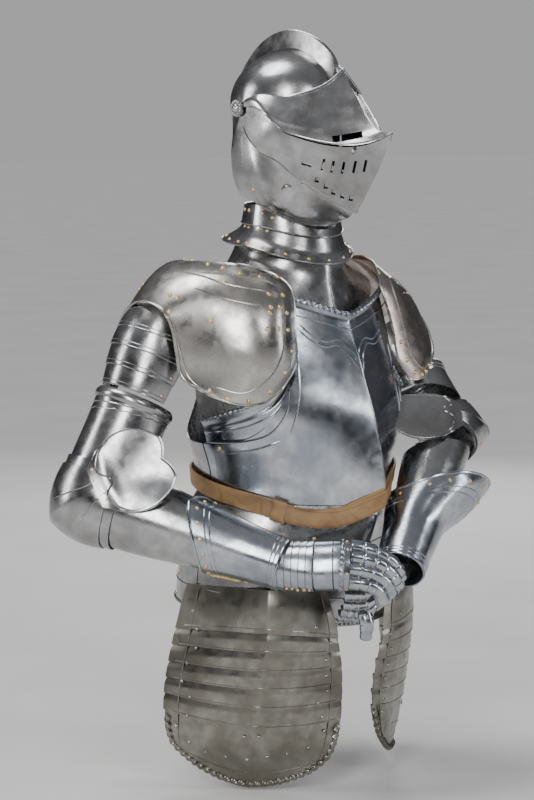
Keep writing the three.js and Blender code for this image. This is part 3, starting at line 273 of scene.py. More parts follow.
def make_mesh(name, points, faces):
    mesh = bpy.data.meshes.new(name)
    mesh.from_pydata((points * MM).tolist(), [], [list(face) for face in faces])
    return mesh


def shade(mesh):
    work = bmesh.new()
    work.from_mesh(mesh)
    bmesh.ops.recalc_face_normals(work, faces=work.faces)
    for face in work.faces:
        face.smooth = True
    for edge in work.edges:
        if len(edge.link_faces) == 2 and edge.calc_face_angle(0) > SMOOTH_UP_TO:
            edge.smooth = False
    work.to_mesh(mesh)
    work.free()


def add_piece(name, mesh, material, body, stands_for=()):
    piece = bpy.data.objects.new(name, mesh)
    bpy.context.scene.collection.objects.link(piece)
    piece.data.materials.clear()
    piece.data.materials.append(MATERIALS[material])
    shade(piece.data)
    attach(piece, body)
    if stands_for:
        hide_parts(*stands_for)
    return piece


def cut_mesh(mesh, cutters):
    """The mesh with each cutter's closed mesh taken away."""
    kept = bpy.data.objects.new("cut_work", mesh)
    bpy.context.scene.collection.objects.link(kept)
    helpers = []
    for cutter in cutters:
        shade(cutter)
        helper = bpy.data.objects.new("cutter_work", cutter)
        bpy.context.scene.collection.objects.link(helper)
        modifier = kept.modifiers.new("cut", "BOOLEAN")
        modifier.object = helper
        modifier.operation = "DIFFERENCE"
        modifier.solver = "EXACT"
        helpers.append(helper)
    bpy.context.view_layer.update()
    seen = kept.evaluated_get(bpy.context.evaluated_depsgraph_get())
    result = bpy.data.meshes.new_from_object(seen)
    for item in [kept, *helpers]:
        bpy.data.objects.remove(item)
    return result


def shell(surface, us, vs, wall=1.6, core=(0, 0, 0), inner=None, closed=False, relief=None):
    """A closed plate on a surface: points and faces. relief(u, v) raises the outside, in millimetres."""
    u, v = (grid.ravel() for grid in np.meshgrid(us, vs))
    outside = surface(u, v)
    square = square_to(surface, u, v)
    middle = len(u) // 2 + len(us) // 2
    towards = np.sign(square[middle] @ (np.array(core, float) - outside[middle]))
    inside = inner(u, v) if inner else outside + square * wall * towards
    if relief:
        outside = outside - square * towards * relief(u, v)[:, None]
    columns, lines = len(us), len(vs)
    half = columns * lines
    spans = columns if closed else columns - 1
    faces = []
    for r in range(lines - 1):
        for c in range(spans):
            a, b = r * columns + c, r * columns + (c + 1) % columns
            faces.append((a, b, b + columns, a + columns))
            faces.append((half + a, half + a + columns, half + b + columns, half + b))
    last = (lines - 1) * columns
    for c in range(spans):
        n = (c + 1) % columns
        faces.append((c, half + c, half + n, n))
        faces.append((last + c, last + n, half + last + n, half + last + c))
    if not closed:
        for r in range(lines - 1):
            a, b = r * columns, (r + 1) * columns
            faces.append((a, b, half + b, half + a))
            faces.append((a + columns - 1, half + a + columns - 1, half + b + columns - 1, b + columns - 1))
    return np.concatenate([outside, inside]), faces


def add_plate(name, surface, us, vs, material, body="suit", cutters=(), stands_for=None, **options):
    points, faces = shell(surface, us, vs, **options)
    mesh = make_mesh(name, points, faces)
    shade(mesh)
    if cutters:
        mesh = cut_mesh(mesh, cutters)
    node = stands_for or [name.replace("_plate", "")]
    return add_piece(name, mesh, material, body, node)


# Lines, ropes and rivets on surfaces
ROPE_MIDDLE, ROPE_SWING = 0.82, 0.28
TAPERED_STEPS, TIP_SHARE = 3, 0.15
SKIN_GRID = 220
OUT_OF_SIGHT = 1e4


class Details:
    """Small forms of one material and body, gathered into one mesh."""

    def __init__(self, name, material, body="suit"):
        self.name, self.material, self.body = name, material, body
        self.points, self.faces, self.count = [], [], 0

    def add(self, points, faces):
        self.points.append(points)
        self.faces.extend([tuple(i + self.count for i in face) for face in faces])
        self.count += len(points)

    def finish(self):
        if self.count:
            mesh = make_mesh(self.name, np.concatenate(self.points), self.faces)
            add_piece(self.name, mesh, self.material, self.body)


def lengths_along(path):
    """How far along a path each of its points lies."""
    return np.concatenate([[0], np.cumsum(np.linalg.norm(np.diff(path, axis=0), axis=1))])


def row_of(us, at):
    """Places in a row across a surface, all at one height."""
    return [(u, at) for u in us]


def column_of(u, heights):
    """Places in a column down a surface."""
    return [(u, at) for at in heights]


def rounded_path(points, rounds=3):
    """The path with its corners cut again and again, its ends kept."""
    points = np.asarray(points, float)
    for _ in range(rounds):
        cut = [points[0]]
        for a, b in zip(points[:-1], points[1:]):
            cut += [a * 0.75 + b * 0.25, a * 0.25 + b * 0.75]
        points = np.array([*cut, points[-1]])
    return points


def tube(path, normals, radius, sides=8, flat=1.0, pitch=None):
    """A tube along a path, tapered at its ends. With a pitch it is twisted like a rope."""
    ahead = np.roll(path, -1, axis=0) - np.roll(path, 1, axis=0)
    ahead[0], ahead[-1] = path[1] - path[0], path[-1] - path[-2]
    ahead = unit(ahead)
    normals = unit(normals - ahead * np.sum(normals * ahead, axis=1, keepdims=True))
    side = np.cross(ahead, normals)
    travelled = lengths_along(path)
    angles = np.linspace(0, 2 * math.pi, sides, endpoint=False)
    size = np.full((len(path), sides), float(radius))
    if pitch:
        wave = np.sin(2 * angles[None, :] + travelled[:, None] * 2 * math.pi / pitch)
        size = radius * (ROPE_MIDDLE + ROPE_SWING * wave)
    from_end = np.minimum(np.arange(len(path)), np.arange(len(path))[::-1])
    taper = np.minimum(1, from_end / TAPERED_STEPS + TIP_SHARE)
    size = size * taper[:, None]
    ring = size[..., None] * (np.cos(angles)[None, :, None] * normals[:, None] * flat
                              + np.sin(angles)[None, :, None] * side[:, None])
    points = (path[:, None] + ring).reshape(-1, 3)
    faces = []
    count = len(path)
    for r in range(count - 1):
        for c in range(sides):
            n = (c + 1) % sides
            faces.append((r * sides + c, r * sides + n, (r + 1) * sides + n, (r + 1) * sides + c))
    faces.append(tuple(range(sides))[::-1])
    faces.append(tuple((count - 1) * sides + c for c in range(sides)))
    return points, faces


def dome(centre, normal, radius, height, sides=12, rings=4):
    """A round rivet head on a surface."""
    normal = unit(np.asarray(normal, float))
    helper = np.array([0.0, 0, 1]) if abs(normal[2]) < 0.9 else np.array([1.0, 0, 0])
    across = unit(np.cross(helper, normal))
    along = np.cross(normal, across)
    points = []
    for ring in range(rings):
        turn = ring / rings * math.pi / 2
        for i in range(sides):
            angle = 2 * math.pi * i / sides
            out = across * math.cos(angle) + along * math.sin(angle)
            points.append(centre + out * radius * math.cos(turn) + normal * height * math.sin(turn))
    points.append(centre + normal * height)
    faces = []
    for ring in range(rings - 1):
        for i in range(sides):
            n = (i + 1) % sides
            faces.append((ring * sides + i, ring * sides + n, (ring + 1) * sides + n, (ring + 1) * sides + i))
    top = (rings - 1) * sides
    faces += [(top + i, top + (i + 1) % sides, rings * sides) for i in range(sides)]
    faces.append(tuple(range(sides))[::-1])
    return np.array(points), faces


class Skin:
    """A surface with a range, on which things are placed by the photograph's pixels or by u and v."""

    def __init__(self, surface, u_range, v_range, core):
        self.surface, self.u_range, self.v_range = surface, u_range, v_range
        us = np.linspace(*u_range, SKIN_GRID)
        vs = np.linspace(*v_range, SKIN_GRID)
        self.u, self.v = (grid.ravel() for grid in np.meshgrid(us, vs))
        points = surface(self.u, self.v)
        square = square_to(surface, self.u, self.v)
        middle = len(points) // 2 + SKIN_GRID // 2
        self.sign = -np.sign(square[middle] @ (np.array(core, float) - points[middle]))
        facing = np.sum(square * self.sign * (EYE - points), axis=1) > 0
        self.photo = to_photo(points)
        self.photo[~facing] += OUT_OF_SIGHT

    def under(self, pixels):
        """The u and v of the surface under each pixel."""
        pixels = np.asarray(pixels, float)
        nearest = [int(np.argmin(np.sum((self.photo - pixel) ** 2, axis=1))) for pixel in pixels]
        u, v = self.u[nearest], self.v[nearest]
        du = (self.u_range[1] - self.u_range[0]) * 1e-3
        dv = (self.v_range[1] - self.v_range[0]) * 1e-3
        for _ in range(3):
            here = to_photo(self.surface(u, v))
            slope_u = (to_photo(self.surface(u + du, v)) - here) / du
            slope_v = (to_photo(self.surface(u, v + dv)) - here) / dv
            miss = pixels - here
            area = slope_u[:, 0] * slope_v[:, 1] - slope_u[:, 1] * slope_v[:, 0]
            area = np.where(np.abs(area) < 1e-6, np.inf, area)
            move_u = (miss[:, 0] * slope_v[:, 1] - miss[:, 1] * slope_v[:, 0]) / area
            move_v = (slope_u[:, 0] * miss[:, 1] - slope_u[:, 1] * miss[:, 0]) / area
            reach_u = (self.u_range[1] - self.u_range[0]) * 0.01
            reach_v = (self.v_range[1] - self.v_range[0]) * 0.01
            u = np.clip(u + np.clip(move_u, -reach_u, reach_u), *sorted(self.u_range))
            v = np.clip(v + np.clip(move_v, -reach_v, reach_v), *sorted(self.v_range))
        return np.stack([u, v], axis=1)

    def place(self, places, lift=0.0):
        """Points on the surface, lifted off it, and the directions outwards."""
        u, v = np.asarray(places, float).T
        square = square_to(self.surface, u, v) * self.sign
        return self.surface(u, v) + square * lift, square

    def line(self, details, places, radius=1.3, pitch=None, flat=1.0, lift=0.0, step=4.0, mirror=False):
        """A raised line or rope through places given as u and v. mirror repeats it at the opposite u."""
        for side in (1, -1) if mirror else (1,):
            path = rounded_path(np.asarray(places, float) * np.array([side, 1.0]))
            points, _ = self.place(path, lift)
            both = np.concatenate([points, path], axis=1)
            lengths = lengths_along(points)
            at = np.linspace(0, lengths[-1], max(3, int(lengths[-1] / step)))
            u = np.interp(at, lengths, both[:, 3])
            v = np.interp(at, lengths, both[:, 4])
            points, square = self.place(np.stack([u, v], axis=1), lift)
            details.add(*tube(points, square, radius, 10 if pitch else 8, flat, pitch))

    def rivets(self, details, places, radius=3.2, height=2.2, mirror=False):
        for side in (1, -1) if mirror else (1,):
            points, square = self.place(np.asarray(places, float) * np.array([side, 1.0]), -0.1)
            for centre, normal in zip(points, square):
                details.add(*dome(centre, normal, radius, height))


brass_bits = Details("brass_rivets", "brass")
steel_bits = Details("steel_rivets", "steel")
bright_lines = Details("breast_lines", "bright_steel")
pauldron_lines = Details("pauldron_lines", "pauldron_steel")
dull_lines = Details("tasset_lines", "dull_steel")
arm_lines = Details("arm_lines", "steel")
bevor_brass = Details("bevor_rivets", "brass", "bevor")
bevor_lines = Details("bevor_lines", "steel", "bevor")
ventail_lines = Details("ventail_lines", "steel", "ventail")
visor_lines = Details("visor_lines", "steel", "visor")


# Helmet
PIVOT_Z = 262.0
SKULL_HALF, BEVOR_HALF, VENTAIL_HALF, VISOR_HALF = 92.6, 95.6, 98.6, 101.0
COMB_HALF_THICK = 4.0
HELMET_WALL = 1.6
face_names = "at angle side end keel round power sharp"
visor_rows = rows(
    face_names,
    (0, 28, 13, 44, 122.6, 98, 1, 1.8),
    (1, 22, 9, 40, 123.5, 98, 0.9, 1.7),
    (2, 12, 3, 35, 131.5, 98, 0.75, 1.5),
    (3, 4, -3, 30, 144, 99, 0.6, 1.4),
    (4, -3, -8, 25, 156, 102, 0.5, 1.35),
    (5, -7.5, -12.5, 19, 172, 108, 0.44, 1.35),
    (6, -9.8, -17, 13, 190, 115, 0.4, 1.35),
    (7, -9, -20.5, 8, 217, 126, 0.38, 1.4),
)
ventail_rows = rows(
    face_names,
    (0, -9.25, -21.8, 6, 216, 125, 0.38, 1.4),
    (1, -19.5, -27, -10, 207, 125, 0.38, 1.4),
    (2, -28.6, -33.5, -32, 202, 125, 0.4, 1.4),
    (3, -37, -40, -54, 200.5, 130, 0.45, 1.4),
    (4, -46.7, -48.5, -76, 203, 134, 0.5, 1.4),
)
bevor_rows = rows(
    face_names,
    (0, -30, -32, -20, 195.5, 119, 0.4, 1.4),
    (1, -38, -40, -38, 194.5, 124, 0.45, 1.4),
    (2, -46.7, -48.5, -56, 197, 128, 0.5, 1.4),
    (3, -51, -53, -64, 197, 132, 0.5, 1.4),
    (4, -57, -60, -70, 190, 152, 0.48, 1.6),
    (5, -65, -68, -77, 184, 178, 0.46, 2),
    (6, -76, -79, -84, 172, 172, 0.42, 2),
    (7, -90.2, -90.2, -90.2, 155, 155, 0.36, 2),
)
skull_rows = rows(
    "angle round comb power",
    (12, 92, 12, 1),
    (24, 93, 18, 1.05),
    (37, 93, 23, 1.05),
    (50, 91, 23, 1),
    (68, 88, 23, 0.95),
    (90, 86, 26, 0.9),
    (115, 84, 30, 0.9),
    (140, 82, 36, 0.85),
    (160, 80, 44, 0.85),
    (178, 76, 44, 0.85),
    (196, 73, 26, 0.85),
    (210, 75, 8, 0.8),
    (223, 85, 1, 0.74),
    (234, 101, 0, 0.66),
    (243, 130, 0, 0.56),
    (253, 152, 0, 0.46),
    (269.2, 152, 0, 0.36),
)


def helmet_surface(table, half, less=0.0):
    def surface(q, at):
        row = {name: read(table, "at", name, at) for name in face_names.split()[1:]}
        share = 1 - q * q
        cosine = np.power(share, 1 / row["power"])
        x = np.sign(q) * np.sqrt(1 - cosine * cosine)
        keel = (row["keel"] - row["round"]) * np.power(1 - np.abs(x), row["sharp"])
        reach = row["round"] * share + keel - less
        from_middle = 1 - np.power(1 - np.abs(x), 3)
        near_pivot = smooth_step(0.5, 1, np.abs(q))
        angle = np.radians(mix(mix(row["angle"], row["side"], from_middle), row["end"], near_pivot))
        return stack(x * (half - less), -reach * np.cos(angle), PIVOT_Z + reach * np.sin(angle))

    return surface


def skull_surface(less=0.0, comb=1.0):
    def surface(q, angle):
        row = {name: read(skull_rows, "angle", name, angle) for name in ("round", "comb", "power")}
        share = 1 - q * q
        cosine = np.power(share, 1 / row["power"])
        x = np.sign(q) * np.sqrt(1 - cosine * cosine) * (SKULL_HALF - less)
        blade = 1 - smooth_step(COMB_HALF_THICK - 1, COMB_HALF_THICK + 4, np.abs(x))
        reach = row["round"] * share + comb * row["comb"] * blade - less
        turn = np.radians(angle)
        return stack(x, -reach * np.cos(turn), PIVOT_Z + reach * np.sin(turn))

    return surface


def face_columns(last, count=30):
    half = np.linspace(0, 1, count) ** 0.9 * last
    return np.concatenate([-half[:0:-1], half])


def box_below(y, z, slope):
    """A box for cutting, whose top passes through y and z at a slope."""
    half = 300.0
    points = [(a, b, c) for a in (-half, half) for b in (-half, half) for c in (-2 * half, 0)]
    across, ahead, up = np.array(points).T
    cosine, sine = math.cos(math.atan(slope)), math.sin(math.atan(slope))
    turned = stack(across, ahead * cosine - up * sine, ahead * sine + up * cosine)
    return make_mesh("cutter", turned + np.array([0, y, z], float), BOX_FACES)


# Slots of the face, as their two ends in pixels of the photograph, and their width in millimetres
SIGHT = [((332.5, 139.5), (362.5, 134.5), 12.0)]
BREATHS = [((x + 1.3, y - 6), (x - 1.3, y + 6), 3.6)
           for x, y in ((323, 165), (332.5, 167), (343, 168), (354.5, 167), (365, 166))]
BREATHS += [((x + 0.6, y - 2.8), (x - 0.6, y + 2.8), 6.0)
            for x, y in ((317, 180), (326, 186.5), (333.5, 192.5), (342.5, 196), (351, 198.5))]
BREATHS += [((301.5, 163.5), (311.5, 166.5), 4.0)]
SLOT_DEPTH = 26.0


def slot_cutters(skin, slots):
    """Boxes through a plate along slots given by pixels, and their mirror images."""
    cutters = []
    for start, end, width in slots:
        ends, square = skin.place(skin.under([start, end]))
        along = (ends[1] - ends[0]) / 2
        normal = unit(square[0] + square[1])
        side = unit(np.cross(along, normal))
        corners = [ends.mean(axis=0) + along * i + side * j * width / 2 + normal * k * SLOT_DEPTH / 2
                   for i in (-1, 1) for j in (-1, 1) for k in (-1, 1)]
        for mirror in (1, -1):
            cutters.append(make_mesh("cutter", np.array(corners) * np.array([mirror, 1, 1]), BOX_FACES))
    return cutters


def on_helmet(surface, x, z, low, high):
    """The point of a helmet plate that lies nearest to x and z."""
    across = np.linspace(0, 0.9, 120) * np.sign(x)
    q, at = (grid.ravel() for grid in np.meshgrid(across, np.linspace(low, high, 120)))
    points = surface(q, at)
    return points[np.argmin(np.abs(points[:, 0] - x) + np.abs(points[:, 2] - z))]


def make_helmet():
    blade = np.array([0.0, 0.012, 0.024, 0.034, 0.045, 0.06, 0.08, 0.11, 0.15, 0.2, 0.26])
    half = np.concatenate([blade, np.linspace(0.32, 0.966, 20)])
    skull_columns = np.concatenate([-half[:0:-1], half])
    add_plate(
        "skull_plate", skull_surface(), skull_columns, np.linspace(12, 269.2, 90), "steel",
        inner=skull_surface(HELMET_WALL, 0.0), cutters=[box_below(0, 131, 0.08)], stands_for=["helmet_skull"],
    )
    bevor = helmet_surface(bevor_rows, BEVOR_HALF)
    add_plate(
        "bevor_plate", bevor, face_columns(0.979), np.linspace(0, 7, 46), "steel", "bevor",
        inner=helmet_surface(bevor_rows, BEVOR_HALF, HELMET_WALL), cutters=[box_below(-74, 93, 0.5)],
        stands_for=["helmet_bevor"],
    )
    ventail = helmet_surface(ventail_rows, VENTAIL_HALF)
    add_plate(
        "ventail_plate", ventail, face_columns(0.98), np.linspace(0, 4, 34), "steel", "ventail",
        inner=helmet_surface(ventail_rows, VENTAIL_HALF, HELMET_WALL),
        cutters=slot_cutters(Skin(ventail, (-0.98, 0.98), (0, 4), (0, 0, PIVOT_Z)), BREATHS),
        stands_for=["helmet_ventail"],
    )
    visor = helmet_surface(visor_rows, VISOR_HALF)
    sights = slot_cutters(Skin(visor, (-0.97, 0.97), (0, 7), (0, 0, PIVOT_Z)), SIGHT)
    add_plate(
        "visor_plate", visor, face_columns(0.97), np.linspace(0, 7, 46), "steel", "visor",
        inner=helmet_surface(visor_rows, VISOR_HALF, HELMET_WALL), cutters=sights,
        stands_for=["helmet_visor"],
    )
    helmet_trim(visor, ventail, bevor)


PEG = {"x": -30, "z": 202.5, "ball": 4.2, "stem": 2.2, "out": 6}


def ball(centre, radius, sides=14, rings=5):
    top_points, top_faces = dome(centre, (0, 0, 1), radius, radius, sides, rings)
    low_points, low_faces = dome(centre, (0, 0, -1), radius, radius, sides, rings)
    low_faces = [tuple(i + len(top_points) for i in face) for face in low_faces]
    return np.concatenate([top_points, low_points]), top_faces + low_faces


def helmet_trim(visor, ventail, bevor):
    across = np.linspace(-0.9, 0.9, 61)
    visor_skin = Skin(visor, (-0.97, 0.97), (0, 7), (0, 0, PIVOT_Z))
    ventail_skin = Skin(ventail, (-0.98, 0.98), (0, 4), (0, 0, PIVOT_Z))
    bevor_skin = Skin(bevor, (-0.979, 0.979), (0, 7), (0, 0, PIVOT_Z))
    visor_skin.line(visor_lines, row_of(across, 0.12), 1.4)
    visor_skin.line(visor_lines, row_of(across, 6.8), 1.3)
    ventail_skin.line(ventail_lines, row_of(across, 3.93), 1.2)
    seat = on_helmet(ventail, PEG["x"], PEG["z"], 0, 4)
    outwards = unit(np.array([-0.62, -0.78, 0.0]))
    path = np.array([seat + outwards * (PEG["out"] * share - 1) for share in (0, 0.4, 0.8, 1.1)])
    ventail_lines.add(*tube(path, np.tile([0.0, 0, 1], (4, 1)), PEG["stem"], 10))
    ventail_lines.add(*ball(seat + outwards * PEG["out"], PEG["ball"]))
    studs = ventail_skin.under([(302, 182)])
    ventail_skin.rivets(ventail_lines, studs, 2.6, 2.2, mirror=True)
    bevor_skin.rivets(bevor_brass, bevor_skin.under([(253, 190)]), 3, 2, mirror=True)
    hook = bevor_skin.under([(281, 190), (287, 185), (292, 187)])
    bevor_skin.line(bevor_lines, hook, 1.8, lift=2.5, step=2)
    for side in (-1, 1):
        centre = np.array([side * (VISOR_HALF + 3.7), 0, PIVOT_Z])
        normal = np.array([side, 0.0, 0])
        steel_bits.add(*dome(centre, normal, 6.4, 5.2, 18, 6))
        for i in range(14):
            turn = 2 * math.pi * i / 14
            place = centre + np.array([0, math.cos(turn), math.sin(turn)]) * 9.4
            steel_bits.add(*dome(place, normal, 2.1, 2.4, 10, 4))


# Neck and body rings
def ring_surface(table):
    def surface(turn, at):
        row = {name: read(table, "at", name, at) for name in table if name != "at"}
        sine, cosine = np.sin(np.radians(turn)), np.cos(np.radians(turn))
        front = cosine > 0
        deep = np.where(front, row["front"], row["back"])
        keel = np.where(front, row.get("keel", 0.0) * np.power(1 - np.abs(sine), 2.2), 0.0)
        ends = np.where(front, row["zFront"], row["zBack"])
        z = mix(row["zSide"], ends, np.power(np.abs(cosine), row.get("dip", 1.4)))
        return stack(row["half"] * sine, row["middle"] - deep * cosine - keel, z)

    return surface


FRONT_TURNS = (-89.6, 89.6)
BACK_TURNS = (90.4, 269.6)
ring_names = "at half front back middle zFront zSide zBack"
upper_neck_rows = rows(ring_names, (0, 69, 69, 68, 0, 90, 125, 127), (1, 73.5, 73.5, 73.5, 0, 79, 96, 101))
lower_neck_rows = rows(
    ring_names,
    (0, 69, 69, 69, 0, 82, 98, 102),
    (0.35, 73.5, 73, 77, 1, 69, 88, 94),
    (0.7, 81, 80, 90, 4, 54, 77, 86),
    (1, 94, 97, 101, 9, 41, 68, 79),
)
gorget_rows = rows(
    "at half front back middle keel zFront zSide zBack dip",
    (0, 76, 80, 82, 4, 2, 46, 62, 72, 1.4),
    (0.3, 84, 80, 92, 4, 4, 26, 46, 50, 1.4),
    (0.6, 104, 84, 98, 4, 6, 2, 33, 20, 1.6),
    (1, 134, 96, 102, 6, 8, -38, 20, -20, 1.7),
)


def make_neck():
    upper, lower = ring_surface(upper_neck_rows), ring_surface(lower_neck_rows)
    gorget = ring_surface(gorget_rows)
    for name, surface, core_z, lines in (("upper", upper, 105, 8), ("lower", lower, 80, 16)):
        for end, turns, body in (("front", FRONT_TURNS, "bevor"), ("back", BACK_TURNS, "suit")):
            piece = "neck_lame_" + name + "_" + end
            columns = np.linspace(*turns, 60)
            add_plate(
                piece + "_plate", surface, columns, np.linspace(0, 1, lines), "steel", body,
                core=(0, 0, core_z), stands_for=[piece],
            )
            skin = Skin(surface, turns, (0, 1), (0, 0, core_z))
            lines_kept = bevor_lines if body == "bevor" else arm_lines
            skin.line(lines_kept, row_of(np.linspace(turns[0] + 1, turns[1] - 1, 40), 0.985), 1.1)
            brass_kept = bevor_brass if body == "bevor" else brass_bits
            middle = sum(turns) / 2
            if name == "lower":
                places = [(middle + turn, 0.86) for turn in (-84, -66, -44, -22, 0, 22, 44, 66, 84)]
                skin.rivets(brass_kept, places, 2.8, 2)
                skin.rivets(brass_kept, [(middle + turn, 0.2) for turn in (-80, -70, 70, 80)], 2.6, 2)
            else:
                skin.rivets(brass_kept, [(middle + turn, 0.3) for turn in (-78, -64, 64, 78)], 2.8, 2)
    for end, turns, core in (("front", FRONT_TURNS, 12), ("back", BACK_TURNS, 12)):
        add_plate(
            "gorget_" + end + "_plate", gorget, np.linspace(*turns, 70), np.linspace(0, 1, 26), "steel",
            core=(0, 0, core), stands_for=["gorget_" + end],
        )
    skin = Skin(gorget, FRONT_TURNS, (0, 1), (0, 0, 12))
    skin.line(arm_lines, row_of(np.linspace(-88, 88, 40), 0.03), 1.6)
    skin.line(arm_lines, [(0, 0.25), (0, 0.9)], 1.0)


torso_rows = rows(
    "z half front keel back",
    (30, 150, 70, 0, 92),
    (0, 158, 98, 8, 112),
    (-40, 166, 114, 10, 124),
    (-80, 172, 126, 12, 130),
    (-120, 176, 134, 18, 130),
    (-162, 176, 141, 29, 127),
    (-205, 168, 137, 46, 124),
    (-240, 156, 128, 65, 124),
    (-270, 149, 122, 73, 126),
    (-290, 149, 120, 71, 128),
)
TORSO_CORE = (0, 0, -150)
BREAST_BOTTOM = -294.0
BREAST_WALL = 2.0
BACK_BOTTOM = -280.0
neckline = rows("side z", (0, -30), (0.1, -23), (0.25, -11), (0.5, 6), (0.75, 14), (1, 16))
ARMHOLE = {"y": 0, "z": -88, "halfY": 117, "halfZ": 123, "fromX": 93, "squareness": 3, "depth": 150}


def torso_point(turn, z, outwards=0.0):
    row = {name: read(torso_rows, "z", name, z) for name in ("half", "front", "keel", "back")}
    sine, cosine = np.sin(np.radians(turn)), np.cos(np.radians(turn))
    deep = np.where(cosine > 0, row["front"], row["back"])
    keel = np.where(cosine > 0, row["keel"] * np.power(1 - np.abs(sine), 1.8), 0.0)
    return stack((row["half"] + outwards) * sine, -(deep + outwards) * cosine - keel, z)


def armhole_cutter(side):
    """A rounded rectangle seen from the side, drawn through breast and back."""
    turns = np.linspace(0, 2 * math.pi, 72, endpoint=False)

    def rounded(value):
        return np.sign(value) * np.power(np.abs(value), 2 / ARMHOLE["squareness"])

    y = ARMHOLE["y"] + ARMHOLE["halfY"] * rounded(np.cos(turns))
    z = ARMHOLE["z"] + ARMHOLE["halfZ"] * rounded(np.sin(turns))
    near = stack(side * ARMHOLE["fromX"], y, z)
    far = stack(side * (ARMHOLE["fromX"] + ARMHOLE["depth"]), y, z)
    count = len(turns)
    faces = [(i, (i + 1) % count, (i + 1) % count + count, i + count) for i in range(count)]
    faces += [tuple(range(count)), tuple(range(count, 2 * count))]
    return make_mesh("cutter", np.concatenate([near, far]), faces)


def breast_surface(across, down):
    top = read(neckline, "side", "z", np.abs(across))
    z = mix(top, BREAST_BOTTOM, down)
    bead = 5 * (1 - smooth_step(0.0, 0.035, down))
    crease = 6 * np.power(1 - np.abs(across), 9) * smooth_step(0.04, 0.3, down)
    return torso_point(across * 89.4, z) + stack(0, -bead - crease, 0.5 * bead)


# Raised lines of the breast, in pixels of the photograph, on the wearer's right half
BREAST_LINES = {
    "emboss": [
        (296, 327), (306, 337), (318, 345), (327, 348), (337, 344), (348, 353), (355, 362), (359, 370),
    ],
    "emboss_second": [
        (297, 322), (307, 332), (319, 340), (328, 343), (338, 338), (350, 347), (357, 356), (360, 363),
    ],
    "arm_ridge": [(297, 350), (301, 387), (299, 406), (294, 424), (290, 436)],
    "upper_ridge": [(205, 442), (236, 443), (255, 440), (270, 435), (280, 425), (289, 409), (290, 387)],
    "lower_ridge": [(226, 454), (258, 450), (280, 441)],
}


def make_breast():
    half = np.concatenate([[0, 0.01, 0.03, 0.06], np.linspace(0.1, 1, 34)])
    columns = np.concatenate([-half[:0:-1], half])
    down = np.concatenate([[0, 0.012, 0.024, 0.036, 0.05], np.linspace(0.08, 1, 44)])
    add_plate(
        "breast_plate", breast_surface, columns, down, "bright_steel", wall=BREAST_WALL, core=TORSO_CORE,
        cutters=[armhole_cutter(-1), armhole_cutter(1)], stands_for=["breastplate"],
    )
    skin = Skin(breast_surface, (-1, 1), (0, 1), TORSO_CORE)
    skin.line(bright_lines, row_of(np.linspace(-0.62, 0.62, 41), 0.004), 4.2, pitch=9, lift=0.5, step=1.6)
    skin.line(bright_lines, row_of(np.linspace(-0.5, 0.5, 31), 0.075), 1.1)
    for name, pixels in BREAST_LINES.items():
        skin.line(bright_lines, skin.under(pixels), 1.5 if "ridge" in name else 1.3, mirror=True)
    skin.line(bright_lines, [(0, 0.12), (0, 0.4), (0, 0.7), (0, 0.97)], 1.2, step=8)
    skin.rivets(brass_bits, skin.under([(219, 449)]), 3.6, 2.4, mirror=True)


def make_back():
    def surface(across, down):
        return torso_point(180 + across * 89.4, mix(8.0, BACK_BOTTOM, down))

    add_plate(
        "back_plate", surface, np.linspace(-1, 1, 60), np.linspace(0, 1, 40), "steel", core=TORSO_CORE,
        cutters=[armhole_cutter(-1), armhole_cutter(1)], stands_for=["backplate"],
    )
    skin = Skin(surface, (-1, 1), (0, 1), TORSO_CORE)
    skin.line(arm_lines, row_of(np.linspace(-0.5, 0.5, 31), 0.012), 3.0, pitch=8, step=1.6)


gusset_rows = rows(
    "turn high low", (32, -96, -132), (42, -128, -196), (55, -150, -218), (72, -166, -225), (88, -177, -227)
)
GUSSET_IN = -4.4


def make_gussets():
    for side, name, last in ((-1, "gusset_right", 88), (1, "gusset_left", 48)):

        def surface(turn, down, side=side):
            high = read(gusset_rows, "turn", "high", turn)
            low = read(gusset_rows, "turn", "low", turn)
            flare = 5 * smooth_step(32, 44, turn) * (1 - smooth_step(0, 0.22, down))
            ridge = 1.6 * np.exp(-(((down - 0.34) / 0.07) ** 2))
            return torso_point(side * turn, mix(high, low, down), GUSSET_IN + flare + ridge)

        columns = np.linspace(32, last, int((last - 32) * 0.8))
        add_plate(name + "_plate", surface, columns, np.linspace(0, 1, 30), "bright_steel", core=TORSO_CORE)
        skin = Skin(surface, (32, last), (0, 1), TORSO_CORE)
        skin.line(bright_lines, row_of(np.linspace(35, last - 0.6, 24), 0.02), 3.4, pitch=8, step=1.5)
        skin.line(bright_lines, row_of(np.linspace(36, last - 0.6, 20), 0.42), 1.3)


skirt_rows = rows(
    "at half front keel back middle zFront zSide zBack",
    (0, 142, 115, 66, 119, 0, -266, -266, -266),
    (0.08, 144.5, 116.5, 67, 121.5, 0, -283, -283, -283),
    (0.16, 156, 122, 63, 130, 0, -304, -302, -302),
    (0.4, 171, 126, 42, 142, 0, -350, -346, -342),
    (0.7, 176, 129, 24, 149, 0, -410, -400, -392),
    (1, 180, 130, 14, 154, 0, -472, -448, -440),
)


